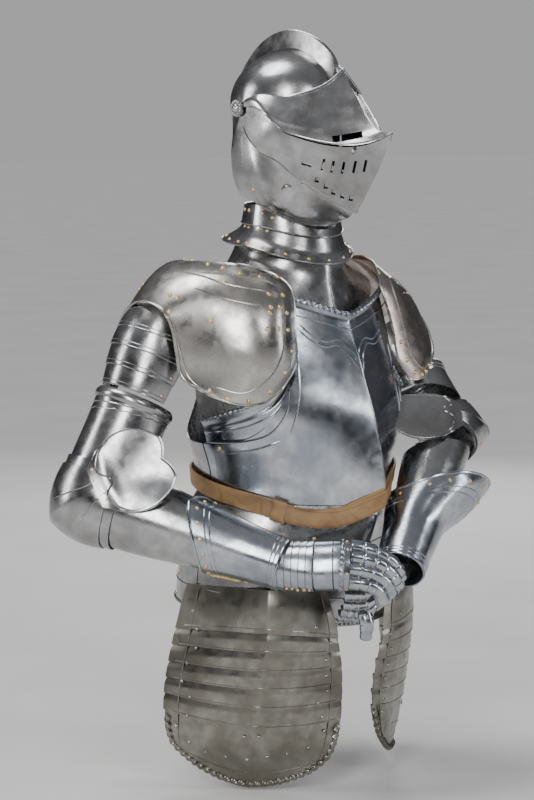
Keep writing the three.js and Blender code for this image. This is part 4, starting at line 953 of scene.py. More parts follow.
def make_skirt():
    surface = ring_surface(skirt_rows)
    for name, piece, turns in (("fauld", "fauld_front", FRONT_TURNS), ("culet", "culet_back", BACK_TURNS)):
        add_plate(
            name + "_plate", surface, np.linspace(*turns, 80), np.linspace(0, 1, 40), "steel",
            core=(0, 0, -360), stands_for=[piece],
        )
        skin = Skin(surface, turns, (0, 1), (0, 0, -360))
        inside = np.linspace(turns[0] + 0.5, turns[1] - 0.5, 50)
        for at in (0.4, 0.6, 0.8):
            skin.line(arm_lines, row_of(inside, at), 1.2)
        skin.line(arm_lines, row_of(inside, 0.985), 2.4, pitch=7, step=1.6)
        middle = sum(turns) / 2
        for at in (0.36, 0.56, 0.76, 0.94):
            skin.rivets(brass_bits, [(middle + turn, at) for turn in (-62, -24, 24, 62)], 3.0, 2)


# Tassets
TASSET_LAMES = 7
TASSET_STEP = 1.4
TASSET_WALL = 1.3
TASSET_LAST_TOP = 0.68
TASSET_FIRST_TOP = -0.26
LEFT_TASSET_SHORTER = 18.0
edge_names = "at x y z"
tasset_edges = [
    rows(
        edge_names, (-0.3, 60, -143, -408), (0, 44, -149, -466), (0.15, 42, -151, -490),
        (0.35, 33, -148, -528),
        (0.55, 29, -144, -572), (0.75, 32, -142, -620), (0.9, 44, -139, -652), (1, 64, -130, -672),
    ),
    rows(
        edge_names, (-0.3, 132, -107, -406), (0, 134, -110, -448), (0.15, 135, -109, -482),
        (0.35, 136, -101, -530), (0.55, 137, -92, -578), (0.75, 138, -81, -630), (0.9, 138, -68, -674),
        (1, 137.5, -61, -700),
    ),
    rows(
        edge_names, (-0.3, 186, 12, -404), (0, 192, 22, -456), (0.15, 196, 28, -484), (0.35, 204, 32, -526),
        (0.55, 210, 34, -566), (0.75, 210, 34, -608), (0.9, 203, 31, -637), (1, 192, 20, -655),
    ),
]


def across_three(tables, across, at):
    """A curve through three edges."""
    shares = [(1 - across) * (1 - 2 * across), 4 * across * (1 - across), across * (2 * across - 1)]
    total = 0.0
    for table, share in zip(tables, shares):
        edge = stack(*(read(table, "at", name, at) for name in ("x", "y", "z")))
        total = total + edge * share[..., None]
    return total


def tasset_point(side, across, at, outwards):
    plain = across_three(tasset_edges, across, at)
    ridge = 4 * np.power(np.maximum(0, 1 - np.abs(across - 0.5) * 5), 1.5)
    turn = np.radians(mix(-70, 25, across))
    push = outwards + ridge
    shorter = LEFT_TASSET_SHORTER * smooth_step(0.3, 1, at) if side > 0 else 0.0
    z = plain[..., 2] + shorter
    return stack(side * (plain[..., 0] + push * np.cos(turn)), plain[..., 1] + push * np.sin(turn), z)


def tasset_lame(side, number):
    """One lame's surface, from its hidden top edge to the edge that lies over the next one."""
    top = TASSET_LAST_TOP * number / (TASSET_LAMES - 1) if number else TASSET_FIRST_TOP
    bottom = 1.0 if number == TASSET_LAMES - 1 else TASSET_LAST_TOP * (number + 1) / (TASSET_LAMES - 1)
    tucked = 0.012 if number else 0.0
    nick_depth = 0.006 if number < TASSET_LAMES - 1 else 0.0

    def surface(across, share):
        at = mix(top - tucked, bottom, share)
        out = mix(-1.2, TASSET_STEP, smooth_step(0.0, 0.5, share))
        nick = nick_depth * np.exp(-(((across - 0.5) / 0.035) ** 2)) * smooth_step(0.85, 1, share)
        return tasset_point(side, across, at - nick, out)

    return surface


# Rivets of the right tasset, in pixels of the photograph
TASSET_RIVETS = [
    (193, 611), (197, 629), (196, 648), (187, 663), (182, 681), (190, 697), (187, 716), (176, 726),
    (316, 627), (331, 643), (326, 660), (326, 676), (327, 691), (318, 703), (322, 717), (324, 731),
    (189, 742), (206, 752), (226, 757), (247, 760), (267, 757), (287, 754), (308, 748), (244, 737),
    (259, 737),
]


def make_tassets():
    across = np.unique(np.concatenate([np.linspace(0, 1, 41), np.linspace(0.44, 0.56, 13)]))
    right_places = None
    for side, name in ((-1, "tasset_right"), (1, "tasset_left")):
        core = (0, 60, -560)
        for number in range(TASSET_LAMES):
            surface = tasset_lame(side, number)
            down = np.linspace(0, 1, 30 if number == TASSET_LAMES - 1 else 12)
            stands = [name] if number == 0 else []
            points, faces = shell(surface, across, down, wall=TASSET_WALL, core=core)
            mesh = make_mesh(name, points, faces)
            add_piece(f"{name}_lame_{number + 1}", mesh, "dull_steel", "suit", stands)
            skin = Skin(surface, (0, 1), (0, 1), core)
            if number < TASSET_LAMES - 1:
                skin.line(dull_lines, row_of(np.linspace(0.03, 0.97, 40), 0.93), 0.7)

        def outside(a, at, side=side):
            return tasset_point(side, a, at, TASSET_STEP * 0.8)

        whole = Skin(outside, (0, 1), (TASSET_FIRST_TOP, 1), core)
        if right_places is None:
            right_places = whole.under(TASSET_RIVETS)
        whole.rivets(steel_bits, right_places, 2.7, 2.2)
        for a in (0.075, 0.925):
            whole.line(dull_lines, column_of(a, np.linspace(-0.24, 0.93, 36)), 1.2)
        rim = column_of(0.02, np.linspace(0.7, 0.95, 8))
        rim += row_of(np.linspace(0.06, 0.94, 30), 0.98)
        rim += column_of(0.98, np.linspace(0.95, 0.7, 8))
        whole.line(dull_lines, rim, 4.8, pitch=11, step=1.8)
        whole.line(dull_lines, row_of(np.linspace(0.1, 0.9, 30), 0.915), 1.0)


# Belt
belt_rows = rows(
    "turn z", (-180, -246), (-120, -253), (-75, -271), (-50, -284), (-32, -298), (-18, -297), (-6, -278),
    (6, -258), (40, -250), (120, -246), (180, -246),
)
BELT_WIDTH = 24.0
BELT_THICK = 3.4
BELT_OFF = 4.2
BELT_CORE = (0, 0, -270)
TAIL_TIP = -53.0
TAIL_DROP = 6.0


def belt_surface(off):
    def surface(turn, down):
        wrapped = (turn + 180) % 360 - 180
        z = read(belt_rows, "turn", "z", wrapped) - BELT_WIDTH * down
        sine, cosine = np.sin(np.radians(turn)), np.cos(np.radians(turn))
        down_skirt = np.clip((-z - 276) / 190, 0, 1)
        up_torso = np.maximum(-290, z)
        most = {}
        for name in ("half", "front", "keel", "back"):
            low = read(skirt_rows, "at", name, down_skirt)
            most[name] = np.maximum(low, read(torso_rows, "z", name, up_torso))
        keel = most["keel"] * np.power(1 - np.abs(sine), 1.8)
        front = -(most["front"] + off) * cosine - keel
        back = -(most["back"] + off) * cosine
        return stack((most["half"] + off) * sine, np.where(cosine > 0, front, back), z)

    return surface


def make_belt():
    turns = np.linspace(-180, 180, 181)[:-1]
    down = np.array([0, 0.04, 0.1, 0.5, 0.9, 0.96, 1])

    def crown(turn, at):
        return -0.7 * (np.abs(at - 0.5) * 2) ** 8

    outer = belt_surface(BELT_OFF + BELT_THICK)
    add_plate("belt_strap", outer, turns, down, "tan_leather", inner=belt_surface(BELT_OFF), closed=True,
              relief=crown, core=BELT_CORE, stands_for=["belt"])
    tail = tail_surface(BELT_OFF + BELT_THICK * 2 + 1.2)
    under = tail_surface(BELT_OFF + BELT_THICK + 0.4)
    near_tip = TAIL_TIP + np.array([0.05, 0.3, 0.8, 1.5, 2.4])
    along_tail = np.concatenate([near_tip, np.linspace(TAIL_TIP + 3.4, 12, 60)])
    add_plate("belt_tail", tail, along_tail, down, "tan_leather", inner=under, relief=crown,
              core=BELT_CORE, stands_for=["belt_end"])
    skin = Skin(tail, (TAIL_TIP, 12), (0, 1), BELT_CORE)
    stitch_bits = Details("belt_stitches", "red_leather")
    for at in (0.1, 0.9):
        skin.line(stitch_bits, row_of(np.linspace(-50, 11, 30), at), 0.45)
    stitch_bits.finish()
    keeper_skin = belt_surface(BELT_OFF + BELT_THICK * 3 + 1.6)

    def keeper_crown(turn, at):
        return -1.6 * np.abs((turn + 44) / 3.5) ** 6 - 2.5 * (np.abs(at - 0.5) * 1.7) ** 8

    points, faces = shell(
        keeper_skin, np.linspace(-47.5, -40.5, 10), np.linspace(-0.09, 1.09, 16),
        wall=2.4, core=BELT_CORE, relief=keeper_crown,
    )
    add_piece("belt_keeper", make_mesh("keeper", points, faces), "tan_leather", "suit")


def tail_surface(off):
    """The belt's free end: rounded at its tip, and hanging a little lower where it leaves the belt."""
    plain = belt_surface(off)

    def surface(turn, down):
        from_tip = np.clip((turn - TAIL_TIP) / 3.0, 0.02, 1)
        narrow = np.sqrt(1 - (1 - from_tip) ** 2)
        drop = TAIL_DROP / BELT_WIDTH * smooth_step(-34, 8, turn)
        return plain(turn, 0.5 + (down - 0.5) * narrow + drop)

    return surface


# Arms
def vec(x, y, z):
    return np.array([x, y, z], float)


# Each lame of the upper arm: its top and bottom along the arm, and its radius at each
RIGHT_LAMES = ((34, 70, 58, 63.5), (60, 98, 62, 64), (88, 127, 62.3, 59.5), (118, 154, 58, 54))
LEFT_LAMES = ((52, 70, 44, 45), (61, 98, 42.7, 43.7), (88, 127, 41.3, 42.3), (118, 154, 40, 41))
ARMS = {
    "right": {
        "shoulder": vec(-178, 42, -5), "elbow": vec(-310, 61, -285), "wrist": vec(-148, -170, -369),
        "lame_turns": (-40, 150), "lame": RIGHT_LAMES, "upper": 1.0, "fore": 1.03, "bend": 1.0, "lobe": 1.0,
        "cuff_end": 284, "cuff": {"tip_turn": 135, "rim": 180, "tip": 46, "radius": 53, "flare": 3},
    },
    "left": {
        "shoulder": vec(166, 36, -8), "elbow": vec(190, -120, -209), "wrist": vec(2, -229, -383),
        "lame_turns": (-104, 100), "lame": LEFT_LAMES, "upper": 0.86, "fore": 0.85, "bend": 0.88, "lobe": 0.5,
        "cuff_end": 276, "cuff": {"tip_turn": 20, "rim": 158, "tip": 86, "radius": 51, "flare": 36},
    },
}
UPPER_START = 158.0
LOWER_END = 225.0
BEND_RADIUS = 30.0
ELBOW_LAME_RADIUS = 59.6
upper_rows = rows(
    "at radius", (158, 54), (163, 57.4), (169, 58), (175, 55.4), (210, 55), (250, 56), (310, 56.5)
)
lower_rows = rows("at radius", (0, 55), (60, 54), (120, 49), (190, 40), (230, 35))
cuff_rows = rows("at share", (120, 1), (170, 0.9), (220, 0.78), (284, 0.68))
wing_rows = rows("at half", (0, 30), (0.3, 54), (0.6, 60), (0.85, 48), (1, 30))


class Arm:
    """The surfaces of one arm, from its joints."""

    def __init__(self, sizes):
        self.sizes = sizes
        self.shoulder, self.elbow, self.wrist = sizes["shoulder"], sizes["elbow"], sizes["wrist"]
        self.along = unit(self.elbow - self.shoulder)
        self.fore = unit(self.wrist - self.elbow)
        square = unit(np.cross(self.along, self.fore))
        self.square = -square if square[1] > 0 else square
        self.in_upper = unit(self.fore - self.along * (self.fore @ self.along))
        self.in_lower = unit(-self.along + self.fore * (self.along @ self.fore))
        self.upper_length = np.linalg.norm(self.elbow - self.shoulder)
        self.bend = math.acos(self.along @ self.fore)
        offset = BEND_RADIUS * math.tan(self.bend / 2)
        self.pivot = self.elbow - self.along * offset + self.in_upper * BEND_RADIUS

    def upper_at(self, distance, turn, radius):
        angle = np.radians(turn)[..., None]
        around = -self.in_upper * np.cos(angle) + self.square * np.sin(angle)
        centre = self.shoulder + self.along * np.asarray(distance)[..., None]
        return centre + around * np.asarray(radius)[..., None]

    def fore_at(self, distance, turn, radius):
        angle = np.radians(turn)[..., None]
        around = -self.in_lower * np.cos(angle) + self.square * np.sin(angle)
        centre = self.elbow + self.fore * np.asarray(distance)[..., None]
        return centre + around * np.asarray(radius)[..., None]

    def upper_cannon(self, turn, at):
        end = self.upper_length - 52 + 24 * np.cos(np.radians(turn))
        distance = mix(UPPER_START, end, at)
        return self.upper_at(distance, turn, read(upper_rows, "at", "radius", distance) * self.sizes["upper"])

    def lower_cannon(self, turn, at):
        start = 50 - 24 * np.cos(np.radians(turn))
        distance = mix(start, LOWER_END, at)
        return self.fore_at(distance, turn, read(lower_rows, "at", "radius", distance) * self.sizes["fore"])

    def bend_at(self, share, turn, radius, lift=0.0):
        kept = np.clip(share, 0, 1)
        angle = (self.bend * kept)[..., None]
        beyond = ((share - kept) * self.bend * BEND_RADIUS)[..., None]
        tangent = self.in_upper * np.sin(angle) + self.along * np.cos(angle)
        outward = -self.in_upper * np.cos(angle) + self.along * np.sin(angle)
        reach = (BEND_RADIUS + radius * np.cos(np.radians(turn)) + lift)[..., None]
        aside = (radius * np.sin(np.radians(turn)))[..., None]
        return self.pivot + outward * reach + tangent * beyond + self.square * aside

    def couter(self, turn, at):
        middle = np.maximum(0, 1 - np.abs(at - 0.5) * 2)
        front = np.maximum(0, np.cos(np.radians(turn)))
        lift = 19 * front**3 * middle**1.2
        return self.bend_at(mix(-0.02, 1.02, at), turn, (62 + 3 * middle) * self.sizes["bend"], lift)

    def wing(self, side, inward):
        half_turn = self.bend / 2
        outward = -self.in_upper * math.cos(half_turn) + self.along * math.sin(half_turn)
        across = unit(np.cross(self.square, outward))
        lobe = np.where(side < 0, 1.0, self.sizes["lobe"])
        half = read(wing_rows, "at", "half", inward) * self.sizes["bend"] * lobe
        reach = mix(30, -72 - 14 * np.abs(side) * (1.6 - np.abs(side)), inward)
        flat = self.pivot + outward * reach[..., None] + across * (side * half)[..., None]
        over = 0.0
        for inwards in (self.in_upper, self.in_lower):
            off_axis = 52 * np.tanh((flat - self.elbow) @ inwards / 52)
            over = over + np.power((66 * self.sizes["bend"]) ** 2 - off_axis**2, 4)
        ridge = 1.5 * np.exp(-(((inward - 0.2) / 0.08) ** 2))
        lift = np.power(over / 2, 1 / 8) + ridge + 3 * inward**3
        return flat + self.square * lift[..., None]

    def cuff(self, turn, at):
        sizes = self.sizes["cuff"]
        away = (turn - sizes["tip_turn"] + 180) % 360 - 180
        near_tip = np.power(0.5 + 0.5 * np.cos(np.radians(away)), 2.4)
        near_tip = mix(near_tip, np.power(np.maximum(0, 1 - np.abs(away) / 125), 1.6), 0.55)
        distance = mix(sizes["rim"] - sizes["tip"] * near_tip, self.sizes["cuff_end"], at)
        opening = 1 - smooth_step(0, 0.55, at)
        narrowed = sizes["radius"] * read(cuff_rows, "at", "share", distance)
        return self.fore_at(distance, turn, narrowed + sizes["flare"] * near_tip * opening)


FULL_TURN = np.linspace(0, 360, 73)[:-1]


def make_arm(name):
    arm = Arm(ARMS[name])
    upper_core = (arm.shoulder + arm.elbow) / 2
    fore_core = (arm.elbow + arm.wrist) / 2
    turns = np.linspace(*arm.sizes["lame_turns"], 44)
    for number, (top, bottom, start, end) in enumerate(arm.sizes["lame"]):

        def lame(turn, at, top=top, bottom=bottom, start=start, end=end):
            return arm.upper_at(mix(top, bottom, at), turn, mix(start, end, at) + 0.8 * np.sin(math.pi * at))

        piece = f"shoulder_lame_{number + 1}_{name}"
        down = np.linspace(0, 1, 8)
        add_plate(piece + "_plate", lame, turns, down, "steel", core=upper_core, stands_for=[piece])
        skin = Skin(lame, arm.sizes["lame_turns"], (0, 1), upper_core)
        inside = np.linspace(turns[0] + 2, turns[-1] - 2, 30)
        skin.line(arm_lines, row_of(inside, 0.97), 0.9)
        skin.line(arm_lines, row_of(inside, 0.82), 0.6)
        skin.rivets(brass_bits, [(arm.sizes["lame_turns"][1] - 10, 0.75), (inside[2], 0.75)], 2.7, 2)
    add_plate("upper_cannon_" + name + "_plate", arm.upper_cannon, FULL_TURN, np.linspace(0, 1, 50), "steel",
              core=upper_core, closed=True, stands_for=["upper_cannon_" + name])
    skin = Skin(arm.upper_cannon, (0, 360), (0, 1), upper_core)
    skin.line(arm_lines, row_of(np.linspace(0, 360, 73), 0.2), 1.1)
    around = np.linspace(0, 360, 241)
    scallops = [(turn, 0.27 + 0.018 * abs(math.sin(math.radians(turn * 9)))) for turn in around]
    skin.line(arm_lines, scallops, 0.8, step=1.5)
    add_plate("lower_cannon_" + name + "_plate", arm.lower_cannon, FULL_TURN, np.linspace(0, 1, 40), "steel",
              core=fore_core, closed=True, stands_for=["lower_cannon_" + name])
    make_couter(name, arm)
    make_cuff(name, arm, fore_core)


# Ridges and rivets of the right couter, in pixels of the photograph
COUTER_RIDGES = [
    [(54, 498), (70, 492), (95, 484), (112, 478)],
    [(78, 526), (89, 507), (101, 496), (111, 495)],
]
COUTER_RIVETS = [(100, 453), (101, 471), (105, 493), (114, 502)]


def make_couter(name, arm):
    core = tuple(arm.elbow)
    add_plate("couter_" + name + "_plate", arm.couter, np.linspace(-104, 96, 60), np.linspace(0, 1, 40),
              "steel", core=core, stands_for=["couter_" + name])
    points, faces = shell(arm.wing, np.linspace(-1, 1, 41), np.linspace(0, 1, 36), core=core)
    add_piece("couter_wing_" + name, make_mesh("wing", points, faces), "steel", "suit")
    for lame, start, end in (("upper", -0.3, 0.08), ("lower", 0.92, 1.3)):

        def surface(turn, at, start=start, end=end):
            return arm.bend_at(mix(start, end, at), turn, ELBOW_LAME_RADIUS * arm.sizes["bend"])

        piece = f"elbow_lame_{lame}_{name}"
        add_plate(piece + "_plate", surface, np.linspace(-96, 84, 44), np.linspace(0, 1, 10),
                  "steel", core=core, stands_for=[piece])
    cap = Skin(arm.couter, (-104, 96), (0, 1), core)
    wing = Skin(arm.wing, (-1, 1), (0, 1), core)
    rim = column_of(-0.97, np.linspace(0.1, 0.97, 12))
    rim += row_of(np.linspace(-0.9, 0.9, 14), 0.98)
    rim += column_of(0.97, np.linspace(0.97, 0.1, 12))
    wing.line(arm_lines, rim, 1.5)
    half_heart = [(0.3, 0.13), (0.6, 0.1), (0.9, 0.2), (0.97, 0.45)]
    heart = [(-side, at) for side, at in half_heart[::-1]] + [(0, 0.3)] + half_heart
    wing.line(arm_lines, heart, 1.5)
    if name == "right":
        for ridge in COUTER_RIDGES:
            cap.line(arm_lines, cap.under(ridge), 1.3)
        cap.rivets(brass_bits, cap.under(COUTER_RIVETS), 3.2, 2.2)
    else:
        cap.line(arm_lines, [(0, 0.5), (30, 0.5), (60, 0.5)], 1.3)
        cap.rivets(brass_bits, [(20, 0.15), (20, 0.85), (-20, 0.15), (-20, 0.85)], 3, 2.2)


def make_cuff(name, arm, core):
    add_plate("cuff_" + name + "_plate", arm.cuff, np.linspace(0, 360, 97)[:-1], np.linspace(0, 1, 44),
              "bright_steel", core=core, closed=True, stands_for=["gauntlet_cuff_" + name])
    skin = Skin(arm.cuff, (0, 360), (0, 1), core)
    around = np.linspace(0, 360, 73)
    for at, radius in ((0.012, 2.0), (0.99, 1.6)):
        skin.line(bright_lines, row_of(around, at), radius)
    for at in (0.17, 0.225, 0.9, 0.94):
        skin.line(bright_lines, row_of(around, at), 0.9)
    skin.rivets(brass_bits, row_of(np.arange(7, 360, 24), 0.1), 2.9, 2)
    if name == "right":
        skin.line(brass_bits, skin.under([(208, 582), (224, 585), (240, 587)]), 2.8, lift=0.8, step=2)
        skin.rivets(brass_bits, skin.under([(226, 579), (235, 581), (246, 584)]), 2.8, 2.2)


# Pauldrons
pauldron_inner = rows(
    edge_names, (0, 110, 122, -80), (1, 118, 114, -20), (2, 136, 70, 40), (3, 142, 26, 42), (4, 114, -46, 40),
    (5, 84, -94, 14), (6, 91, -114, -48), (7, 96, -121, -94), (8, 122, -120, -130),
)
pauldron_middle = {
    "right": rows(
        edge_names, (0, 170, 132, -92), (1, 178, 120, -24), (2, 194, 72, 30), (3, 200, 28, 41),
        (4, 182, -48, 34), (5, 164, -106, -6), (6, 166, -126, -55), (7, 168, -126, -100),
        (8, 176, -112, -148),
    ),
    "left": rows(
        edge_names, (0, 168, 128, -98), (1, 174, 112, -34), (2, 188, 62, 20), (3, 192, 20, 12),
        (4, 176, -46, -3), (5, 142, -88, -4), (6, 142, -108, -54), (7, 141, -118, -94), (8, 146, -122, -128),
    ),
}
pauldron_outer = {
    "right": rows(
        edge_names, (0, 232, 118, -92), (1, 242, 98, -48), (2, 250, 56, -14), (3, 252, 18, -8),
        (4, 250, -16, -20),
        (5, 243, -26, -45), (6, 238, -29, -78), (7, 233, -34, -110), (8, 222, -64, -127),
    ),
    "left": rows(
        edge_names, (0, 222, 106, -104), (1, 232, 90, -68), (2, 240, 54, -50), (3, 232, 10, -34),
        (4, 220, -30, -42), (5, 209, -58, -55), (6, 199, -83, -76), (7, 186, -102, -95), (8, 166, -113, -113),
    ),
}
# Lines and rivets of the right pauldron, in pixels of the photograph
PAULDRON_LINES = [
    [(198, 273), (230, 276), (262, 279), (274, 284), (278, 292), (285, 334), (280, 362), (267, 382),
     (241, 396),
     (210, 386)],
    [(172, 272), (211, 280), (234, 287), (269, 292)],
    [(194, 288), (220, 298), (247, 304), (267, 307)],
    [(160, 312), (171, 317), (177, 340), (184, 365), (200, 388)],
]
PAULDRON_RIVETS = [
    (185, 254), (195, 258), (208, 264), (223, 268), (240, 273), (260, 277), (278, 277), (283, 295),
    (287, 313),
    (288, 330), (292, 351), (285, 373), (270, 392), (249, 401), (228, 399), (210, 391), (143, 284),
    (137, 287),
    (170, 295), (177, 298), (169, 312), (211, 321), (224, 282), (269, 294), (271, 307), (270, 313),
    (280, 307),
    (267, 329), (278, 329),
]


# The left pauldron keeps only the rivets within this share of its rims, or past this row
RIM_SHARE = 0.14
LAST_ROW = 7


def make_pauldrons():
    right_lines, right_rivets = [], []
    for side, name in ((-1, "right"), (1, "left")):
        tables = [pauldron_inner, pauldron_middle[name], pauldron_outer[name]]

        def surface(across, at, tables=tables, side=side):
            return across_three(tables, across, at) * np.array([side, 1, 1])

        core = (side * 190, 20, -60)
        add_plate("pauldron_" + name + "_plate", surface, np.linspace(0, 1, 50), np.linspace(0, 8, 90),
                  "pauldron_steel" if side < 0 else "warm_steel", core=core, stands_for=["pauldron_" + name])
        lining = Details("shoulder_leather_" + name, "red_leather")
        strip = Skin(surface, (-0.2, 0.2), (1.8, 4.2), core)
        for edge in (-0.05, -0.035, -0.02, -0.005):
            strip.line(lining, column_of(edge, np.linspace(2.1, 3.9, 20)), 2.4, lift=-1.5, flat=0.8)
        lining.finish()
        skin = Skin(surface, (0, 1), (0, 8), core)
        if not right_lines:
            right_lines = [skin.under(line) for line in PAULDRON_LINES]
            right_rivets = skin.under(PAULDRON_RIVETS)
        for line in right_lines:
            skin.line(pauldron_lines, line, 1.4)
        kept = [
            (a, at) for a, at in right_rivets
            if side < 0 or min(a, 1 - a) < RIM_SHARE or at > LAST_ROW
        ]
        skin.rivets(brass_bits, kept, 3.6, 2.6)
        rim = column_of(0.012, np.linspace(0.2, 7.9, 50))
        rim += row_of(np.linspace(0.05, 0.95, 14), 7.97)
        rim += column_of(0.988, np.linspace(7.9, 0.2, 50))
        skin.line(pauldron_lines, rim, 1.7)


# Hands
HAND_WALL = 1.2
FINGER_WALL = 1.0
FINGER_SPREAD = 0.78
hand_names = "at x y z faceX faceY faceZ half deep"
right_hand = rows(
    hand_names,
    (-0.6, -172, -143, -366, -0.62, -0.6, 0.5, 33, 30),
    (0, -155, -162, -367, -0.62, -0.6, 0.5, 34, 31),
    (1, -126, -194, -367, -0.62, -0.62, 0.48, 35, 25),
    (2, -98, -222, -366, -0.5, -0.75, 0.43, 35, 25),
    (3, -72, -240, -370, -0.3, -0.88, 0.35, 33, 22),
    (4, -46, -249, -384, -0.1, -0.97, 0.2, 31, 18),
    (5, -30, -247, -404, 0.1, -0.98, 0, 29, 14),
)
left_hand = rows(
    hand_names,
    (0, 14, -213, -382, -0.1, -0.8, -0.6, 31, 24),
    (1, -14, -212, -404, -0.1, -0.8, -0.6, 32, 20),
    (2, -46, -205, -424, -0.2, -0.75, -0.62, 31, 18),
    (3, -76, -192, -424, -0.5, -0.6, -0.6, 29, 16),
)
thumb_right = rows(
    hand_names,
    (0, -105, -163, -353, -0.2, -0.2, 0.9, 12, 12),
    (1, -76, -178, -350, -0.1, -0.2, 0.9, 11, 11),
    (2, -50, -192, -356, 0.3, -0.2, 0.9, 10, 10),
)
thumb_left = rows(
    hand_names,
    (0, -56, -222, -438, -0.5, -0.85, 0, 10, 10),
    (1, -54, -224, -452, -0.5, -0.85, -0.1, 10, 10),
    (2, -52, -220, -474, -0.5, -0.85, -0.2, 8, 8),
)


def hand_frame(table, at):
    first, last = table["at"][0], table["at"][-1]

    def place(share):
        share = np.clip(share, first, last)
        return stack(*(read(table, "at", name, share) for name in ("x", "y", "z")))

    along = unit(place(at + 0.02) - place(at - 0.02))
    back = stack(*(read(table, "at", name, at) for name in ("faceX", "faceY", "faceZ")))
    back = unit(back - along * np.sum(back * along, axis=-1, keepdims=True))
    return place(at), along, back, np.cross(along, back)


def hand_core(table, start, end):
    """The middle of a stretch of the hand, which its plates lie round."""
    return [float(read(table, "at", axis, (start + end) / 2)) for axis in ("x", "y", "z")]


def swept(table, ripple=None):
    def surface(turn, at):
        centre, _, back, across = hand_frame(table, at)
        angle = np.radians(turn)
        deep = read(table, "at", "deep", at)
        half = read(table, "at", "half", at)
        extra = ripple(at) if ripple else 0.0
        up = back * (np.cos(angle) * (deep + extra))[..., None]
        return centre + up + across * (np.sin(angle) * (half + extra))[..., None]

    return surface


def saw(start, end, count, height):
    """Overlapping lames: each one rises towards the next and then drops."""
    def ripple(at):
        share = (at - start) / (end - start) * count
        return height * (share - np.floor(share + 1e-6))

    return ripple


def hand_plate(name, table, start, end, spread, ripple=None, columns=40, lines=14):
    core = hand_core(table, start, end)
    surface = swept(table, ripple)
    add_plate(name + "_plate", surface, np.linspace(-spread, spread, columns), np.linspace(start, end, lines),
              "bright_steel", core=core, stands_for=[name], wall=HAND_WALL)
    return Skin(surface, (-spread, spread), (start, end), core)


def finger_surface(table, offset, radius, ripple):
    """One finger's plates: a half tube beside the middle of the hand."""
    def surface(turn, at):
        centre, _, back, across = hand_frame(table, at)
        deep = read(table, "at", "deep", at)
        half = read(table, "at", "half", at)
        middle = centre + across * (half * offset * FINGER_SPREAD)[..., None]
        height = (deep - 1) * math.sqrt(1 - (offset * FINGER_SPREAD) ** 2) - radius + 1.5
        middle = middle + back * height[..., None]
        angle = np.radians(turn)
        size = radius + ripple(at)
        return middle + back * (np.cos(angle) * size)[..., None] + across * (np.sin(angle) * size)[..., None]

    return surface


def make_fingers(name, table, start, end, lames, radius):
    core = hand_core(table, start, end)
    for number, offset in enumerate((-0.96, -0.32, 0.32, 0.96)):
        surface = finger_surface(table, offset, radius, saw(start, end, lames, 1.5))
        points, faces = shell(
            surface, np.linspace(-100, 100, 17), np.linspace(start, end, lames * 8 + 1),
            wall=FINGER_WALL, core=core,
        )
        stands = [name] if number == 0 else []
        add_piece(f"{name}_{number + 1}", make_mesh(name, points, faces), "bright_steel", "suit", stands)
        skin = Skin(surface, (-100, 100), (start, end), core)
        step = (end - start) / lames
        places = [(turn, start + step * (i + 0.75)) for i in range(lames) for turn in (-42, 42)]
        skin.rivets(brass_bits, places, 1.3, 1.1)


def make_hands():
    wrist = hand_plate("wrist_lames_right", right_hand, -0.3, 1.02, 112, saw(-0.3, 1.02, 6, 2.0), lines=61)
    wrist.rivets(brass_bits, column_of(84, (0.2, 0.37, 0.55, 0.73, 0.9)), 2.4, 2.4)
    hand_plate("hand_plate_right", right_hand, 1.06, 1.66, 108)
    knuckle = hand_plate("knuckle_plate_right", right_hand, 1.7, 2.25, 104)
    knuckle.line(bright_lines, row_of(np.linspace(-98, 98, 40), 1.98), 3.2, pitch=7, step=1.4)
    knuckle.rivets(brass_bits, row_of((-80, -30, 30, 80), 2.16), 2.2, 1.8)
    make_fingers("fingers_right", right_hand, 2.3, 5.0, 6, 8.6)
    hand_plate("thumb_right", thumb_right, 0, 2, 100, saw(0, 2, 4, 1.0), lines=33)
    hand_plate("wrist_lames_left", left_hand, 0.45, 0.8, 110, saw(0.45, 0.8, 2, 1.4), lines=17)
    hand_plate("hand_plate_left", left_hand, 0.85, 1.7, 112)
    make_fingers("fingers_left", left_hand, 1.75, 3.0, 4, 8.2)
    hand_plate("thumb_left", thumb_left, 0, 2, 100, saw(0, 2, 4, 1.0), lines=33)


# Studio, in metres
FLOOR_HALF = 40.0
FLOOR_BELOW = 0.004
BACKDROP = (0.41, 0.41, 0.41)
CEILING_ENERGY = 1.7


def area_light(name, place, size, power, colour=(1, 1, 1)):
    data = bpy.data.lights.new(name, "AREA")
    data.shape = "RECTANGLE"
    data.size, data.size_y = size
    data.energy = power
    data.color = colour
    light = bpy.data.objects.new(name, data)
    bpy.context.scene.collection.objects.link(light)
    light.location = place
    aim = Vector((0, 0, -0.15)) - light.location
    light.rotation_euler = aim.to_track_quat("-Z", "Y").to_euler()


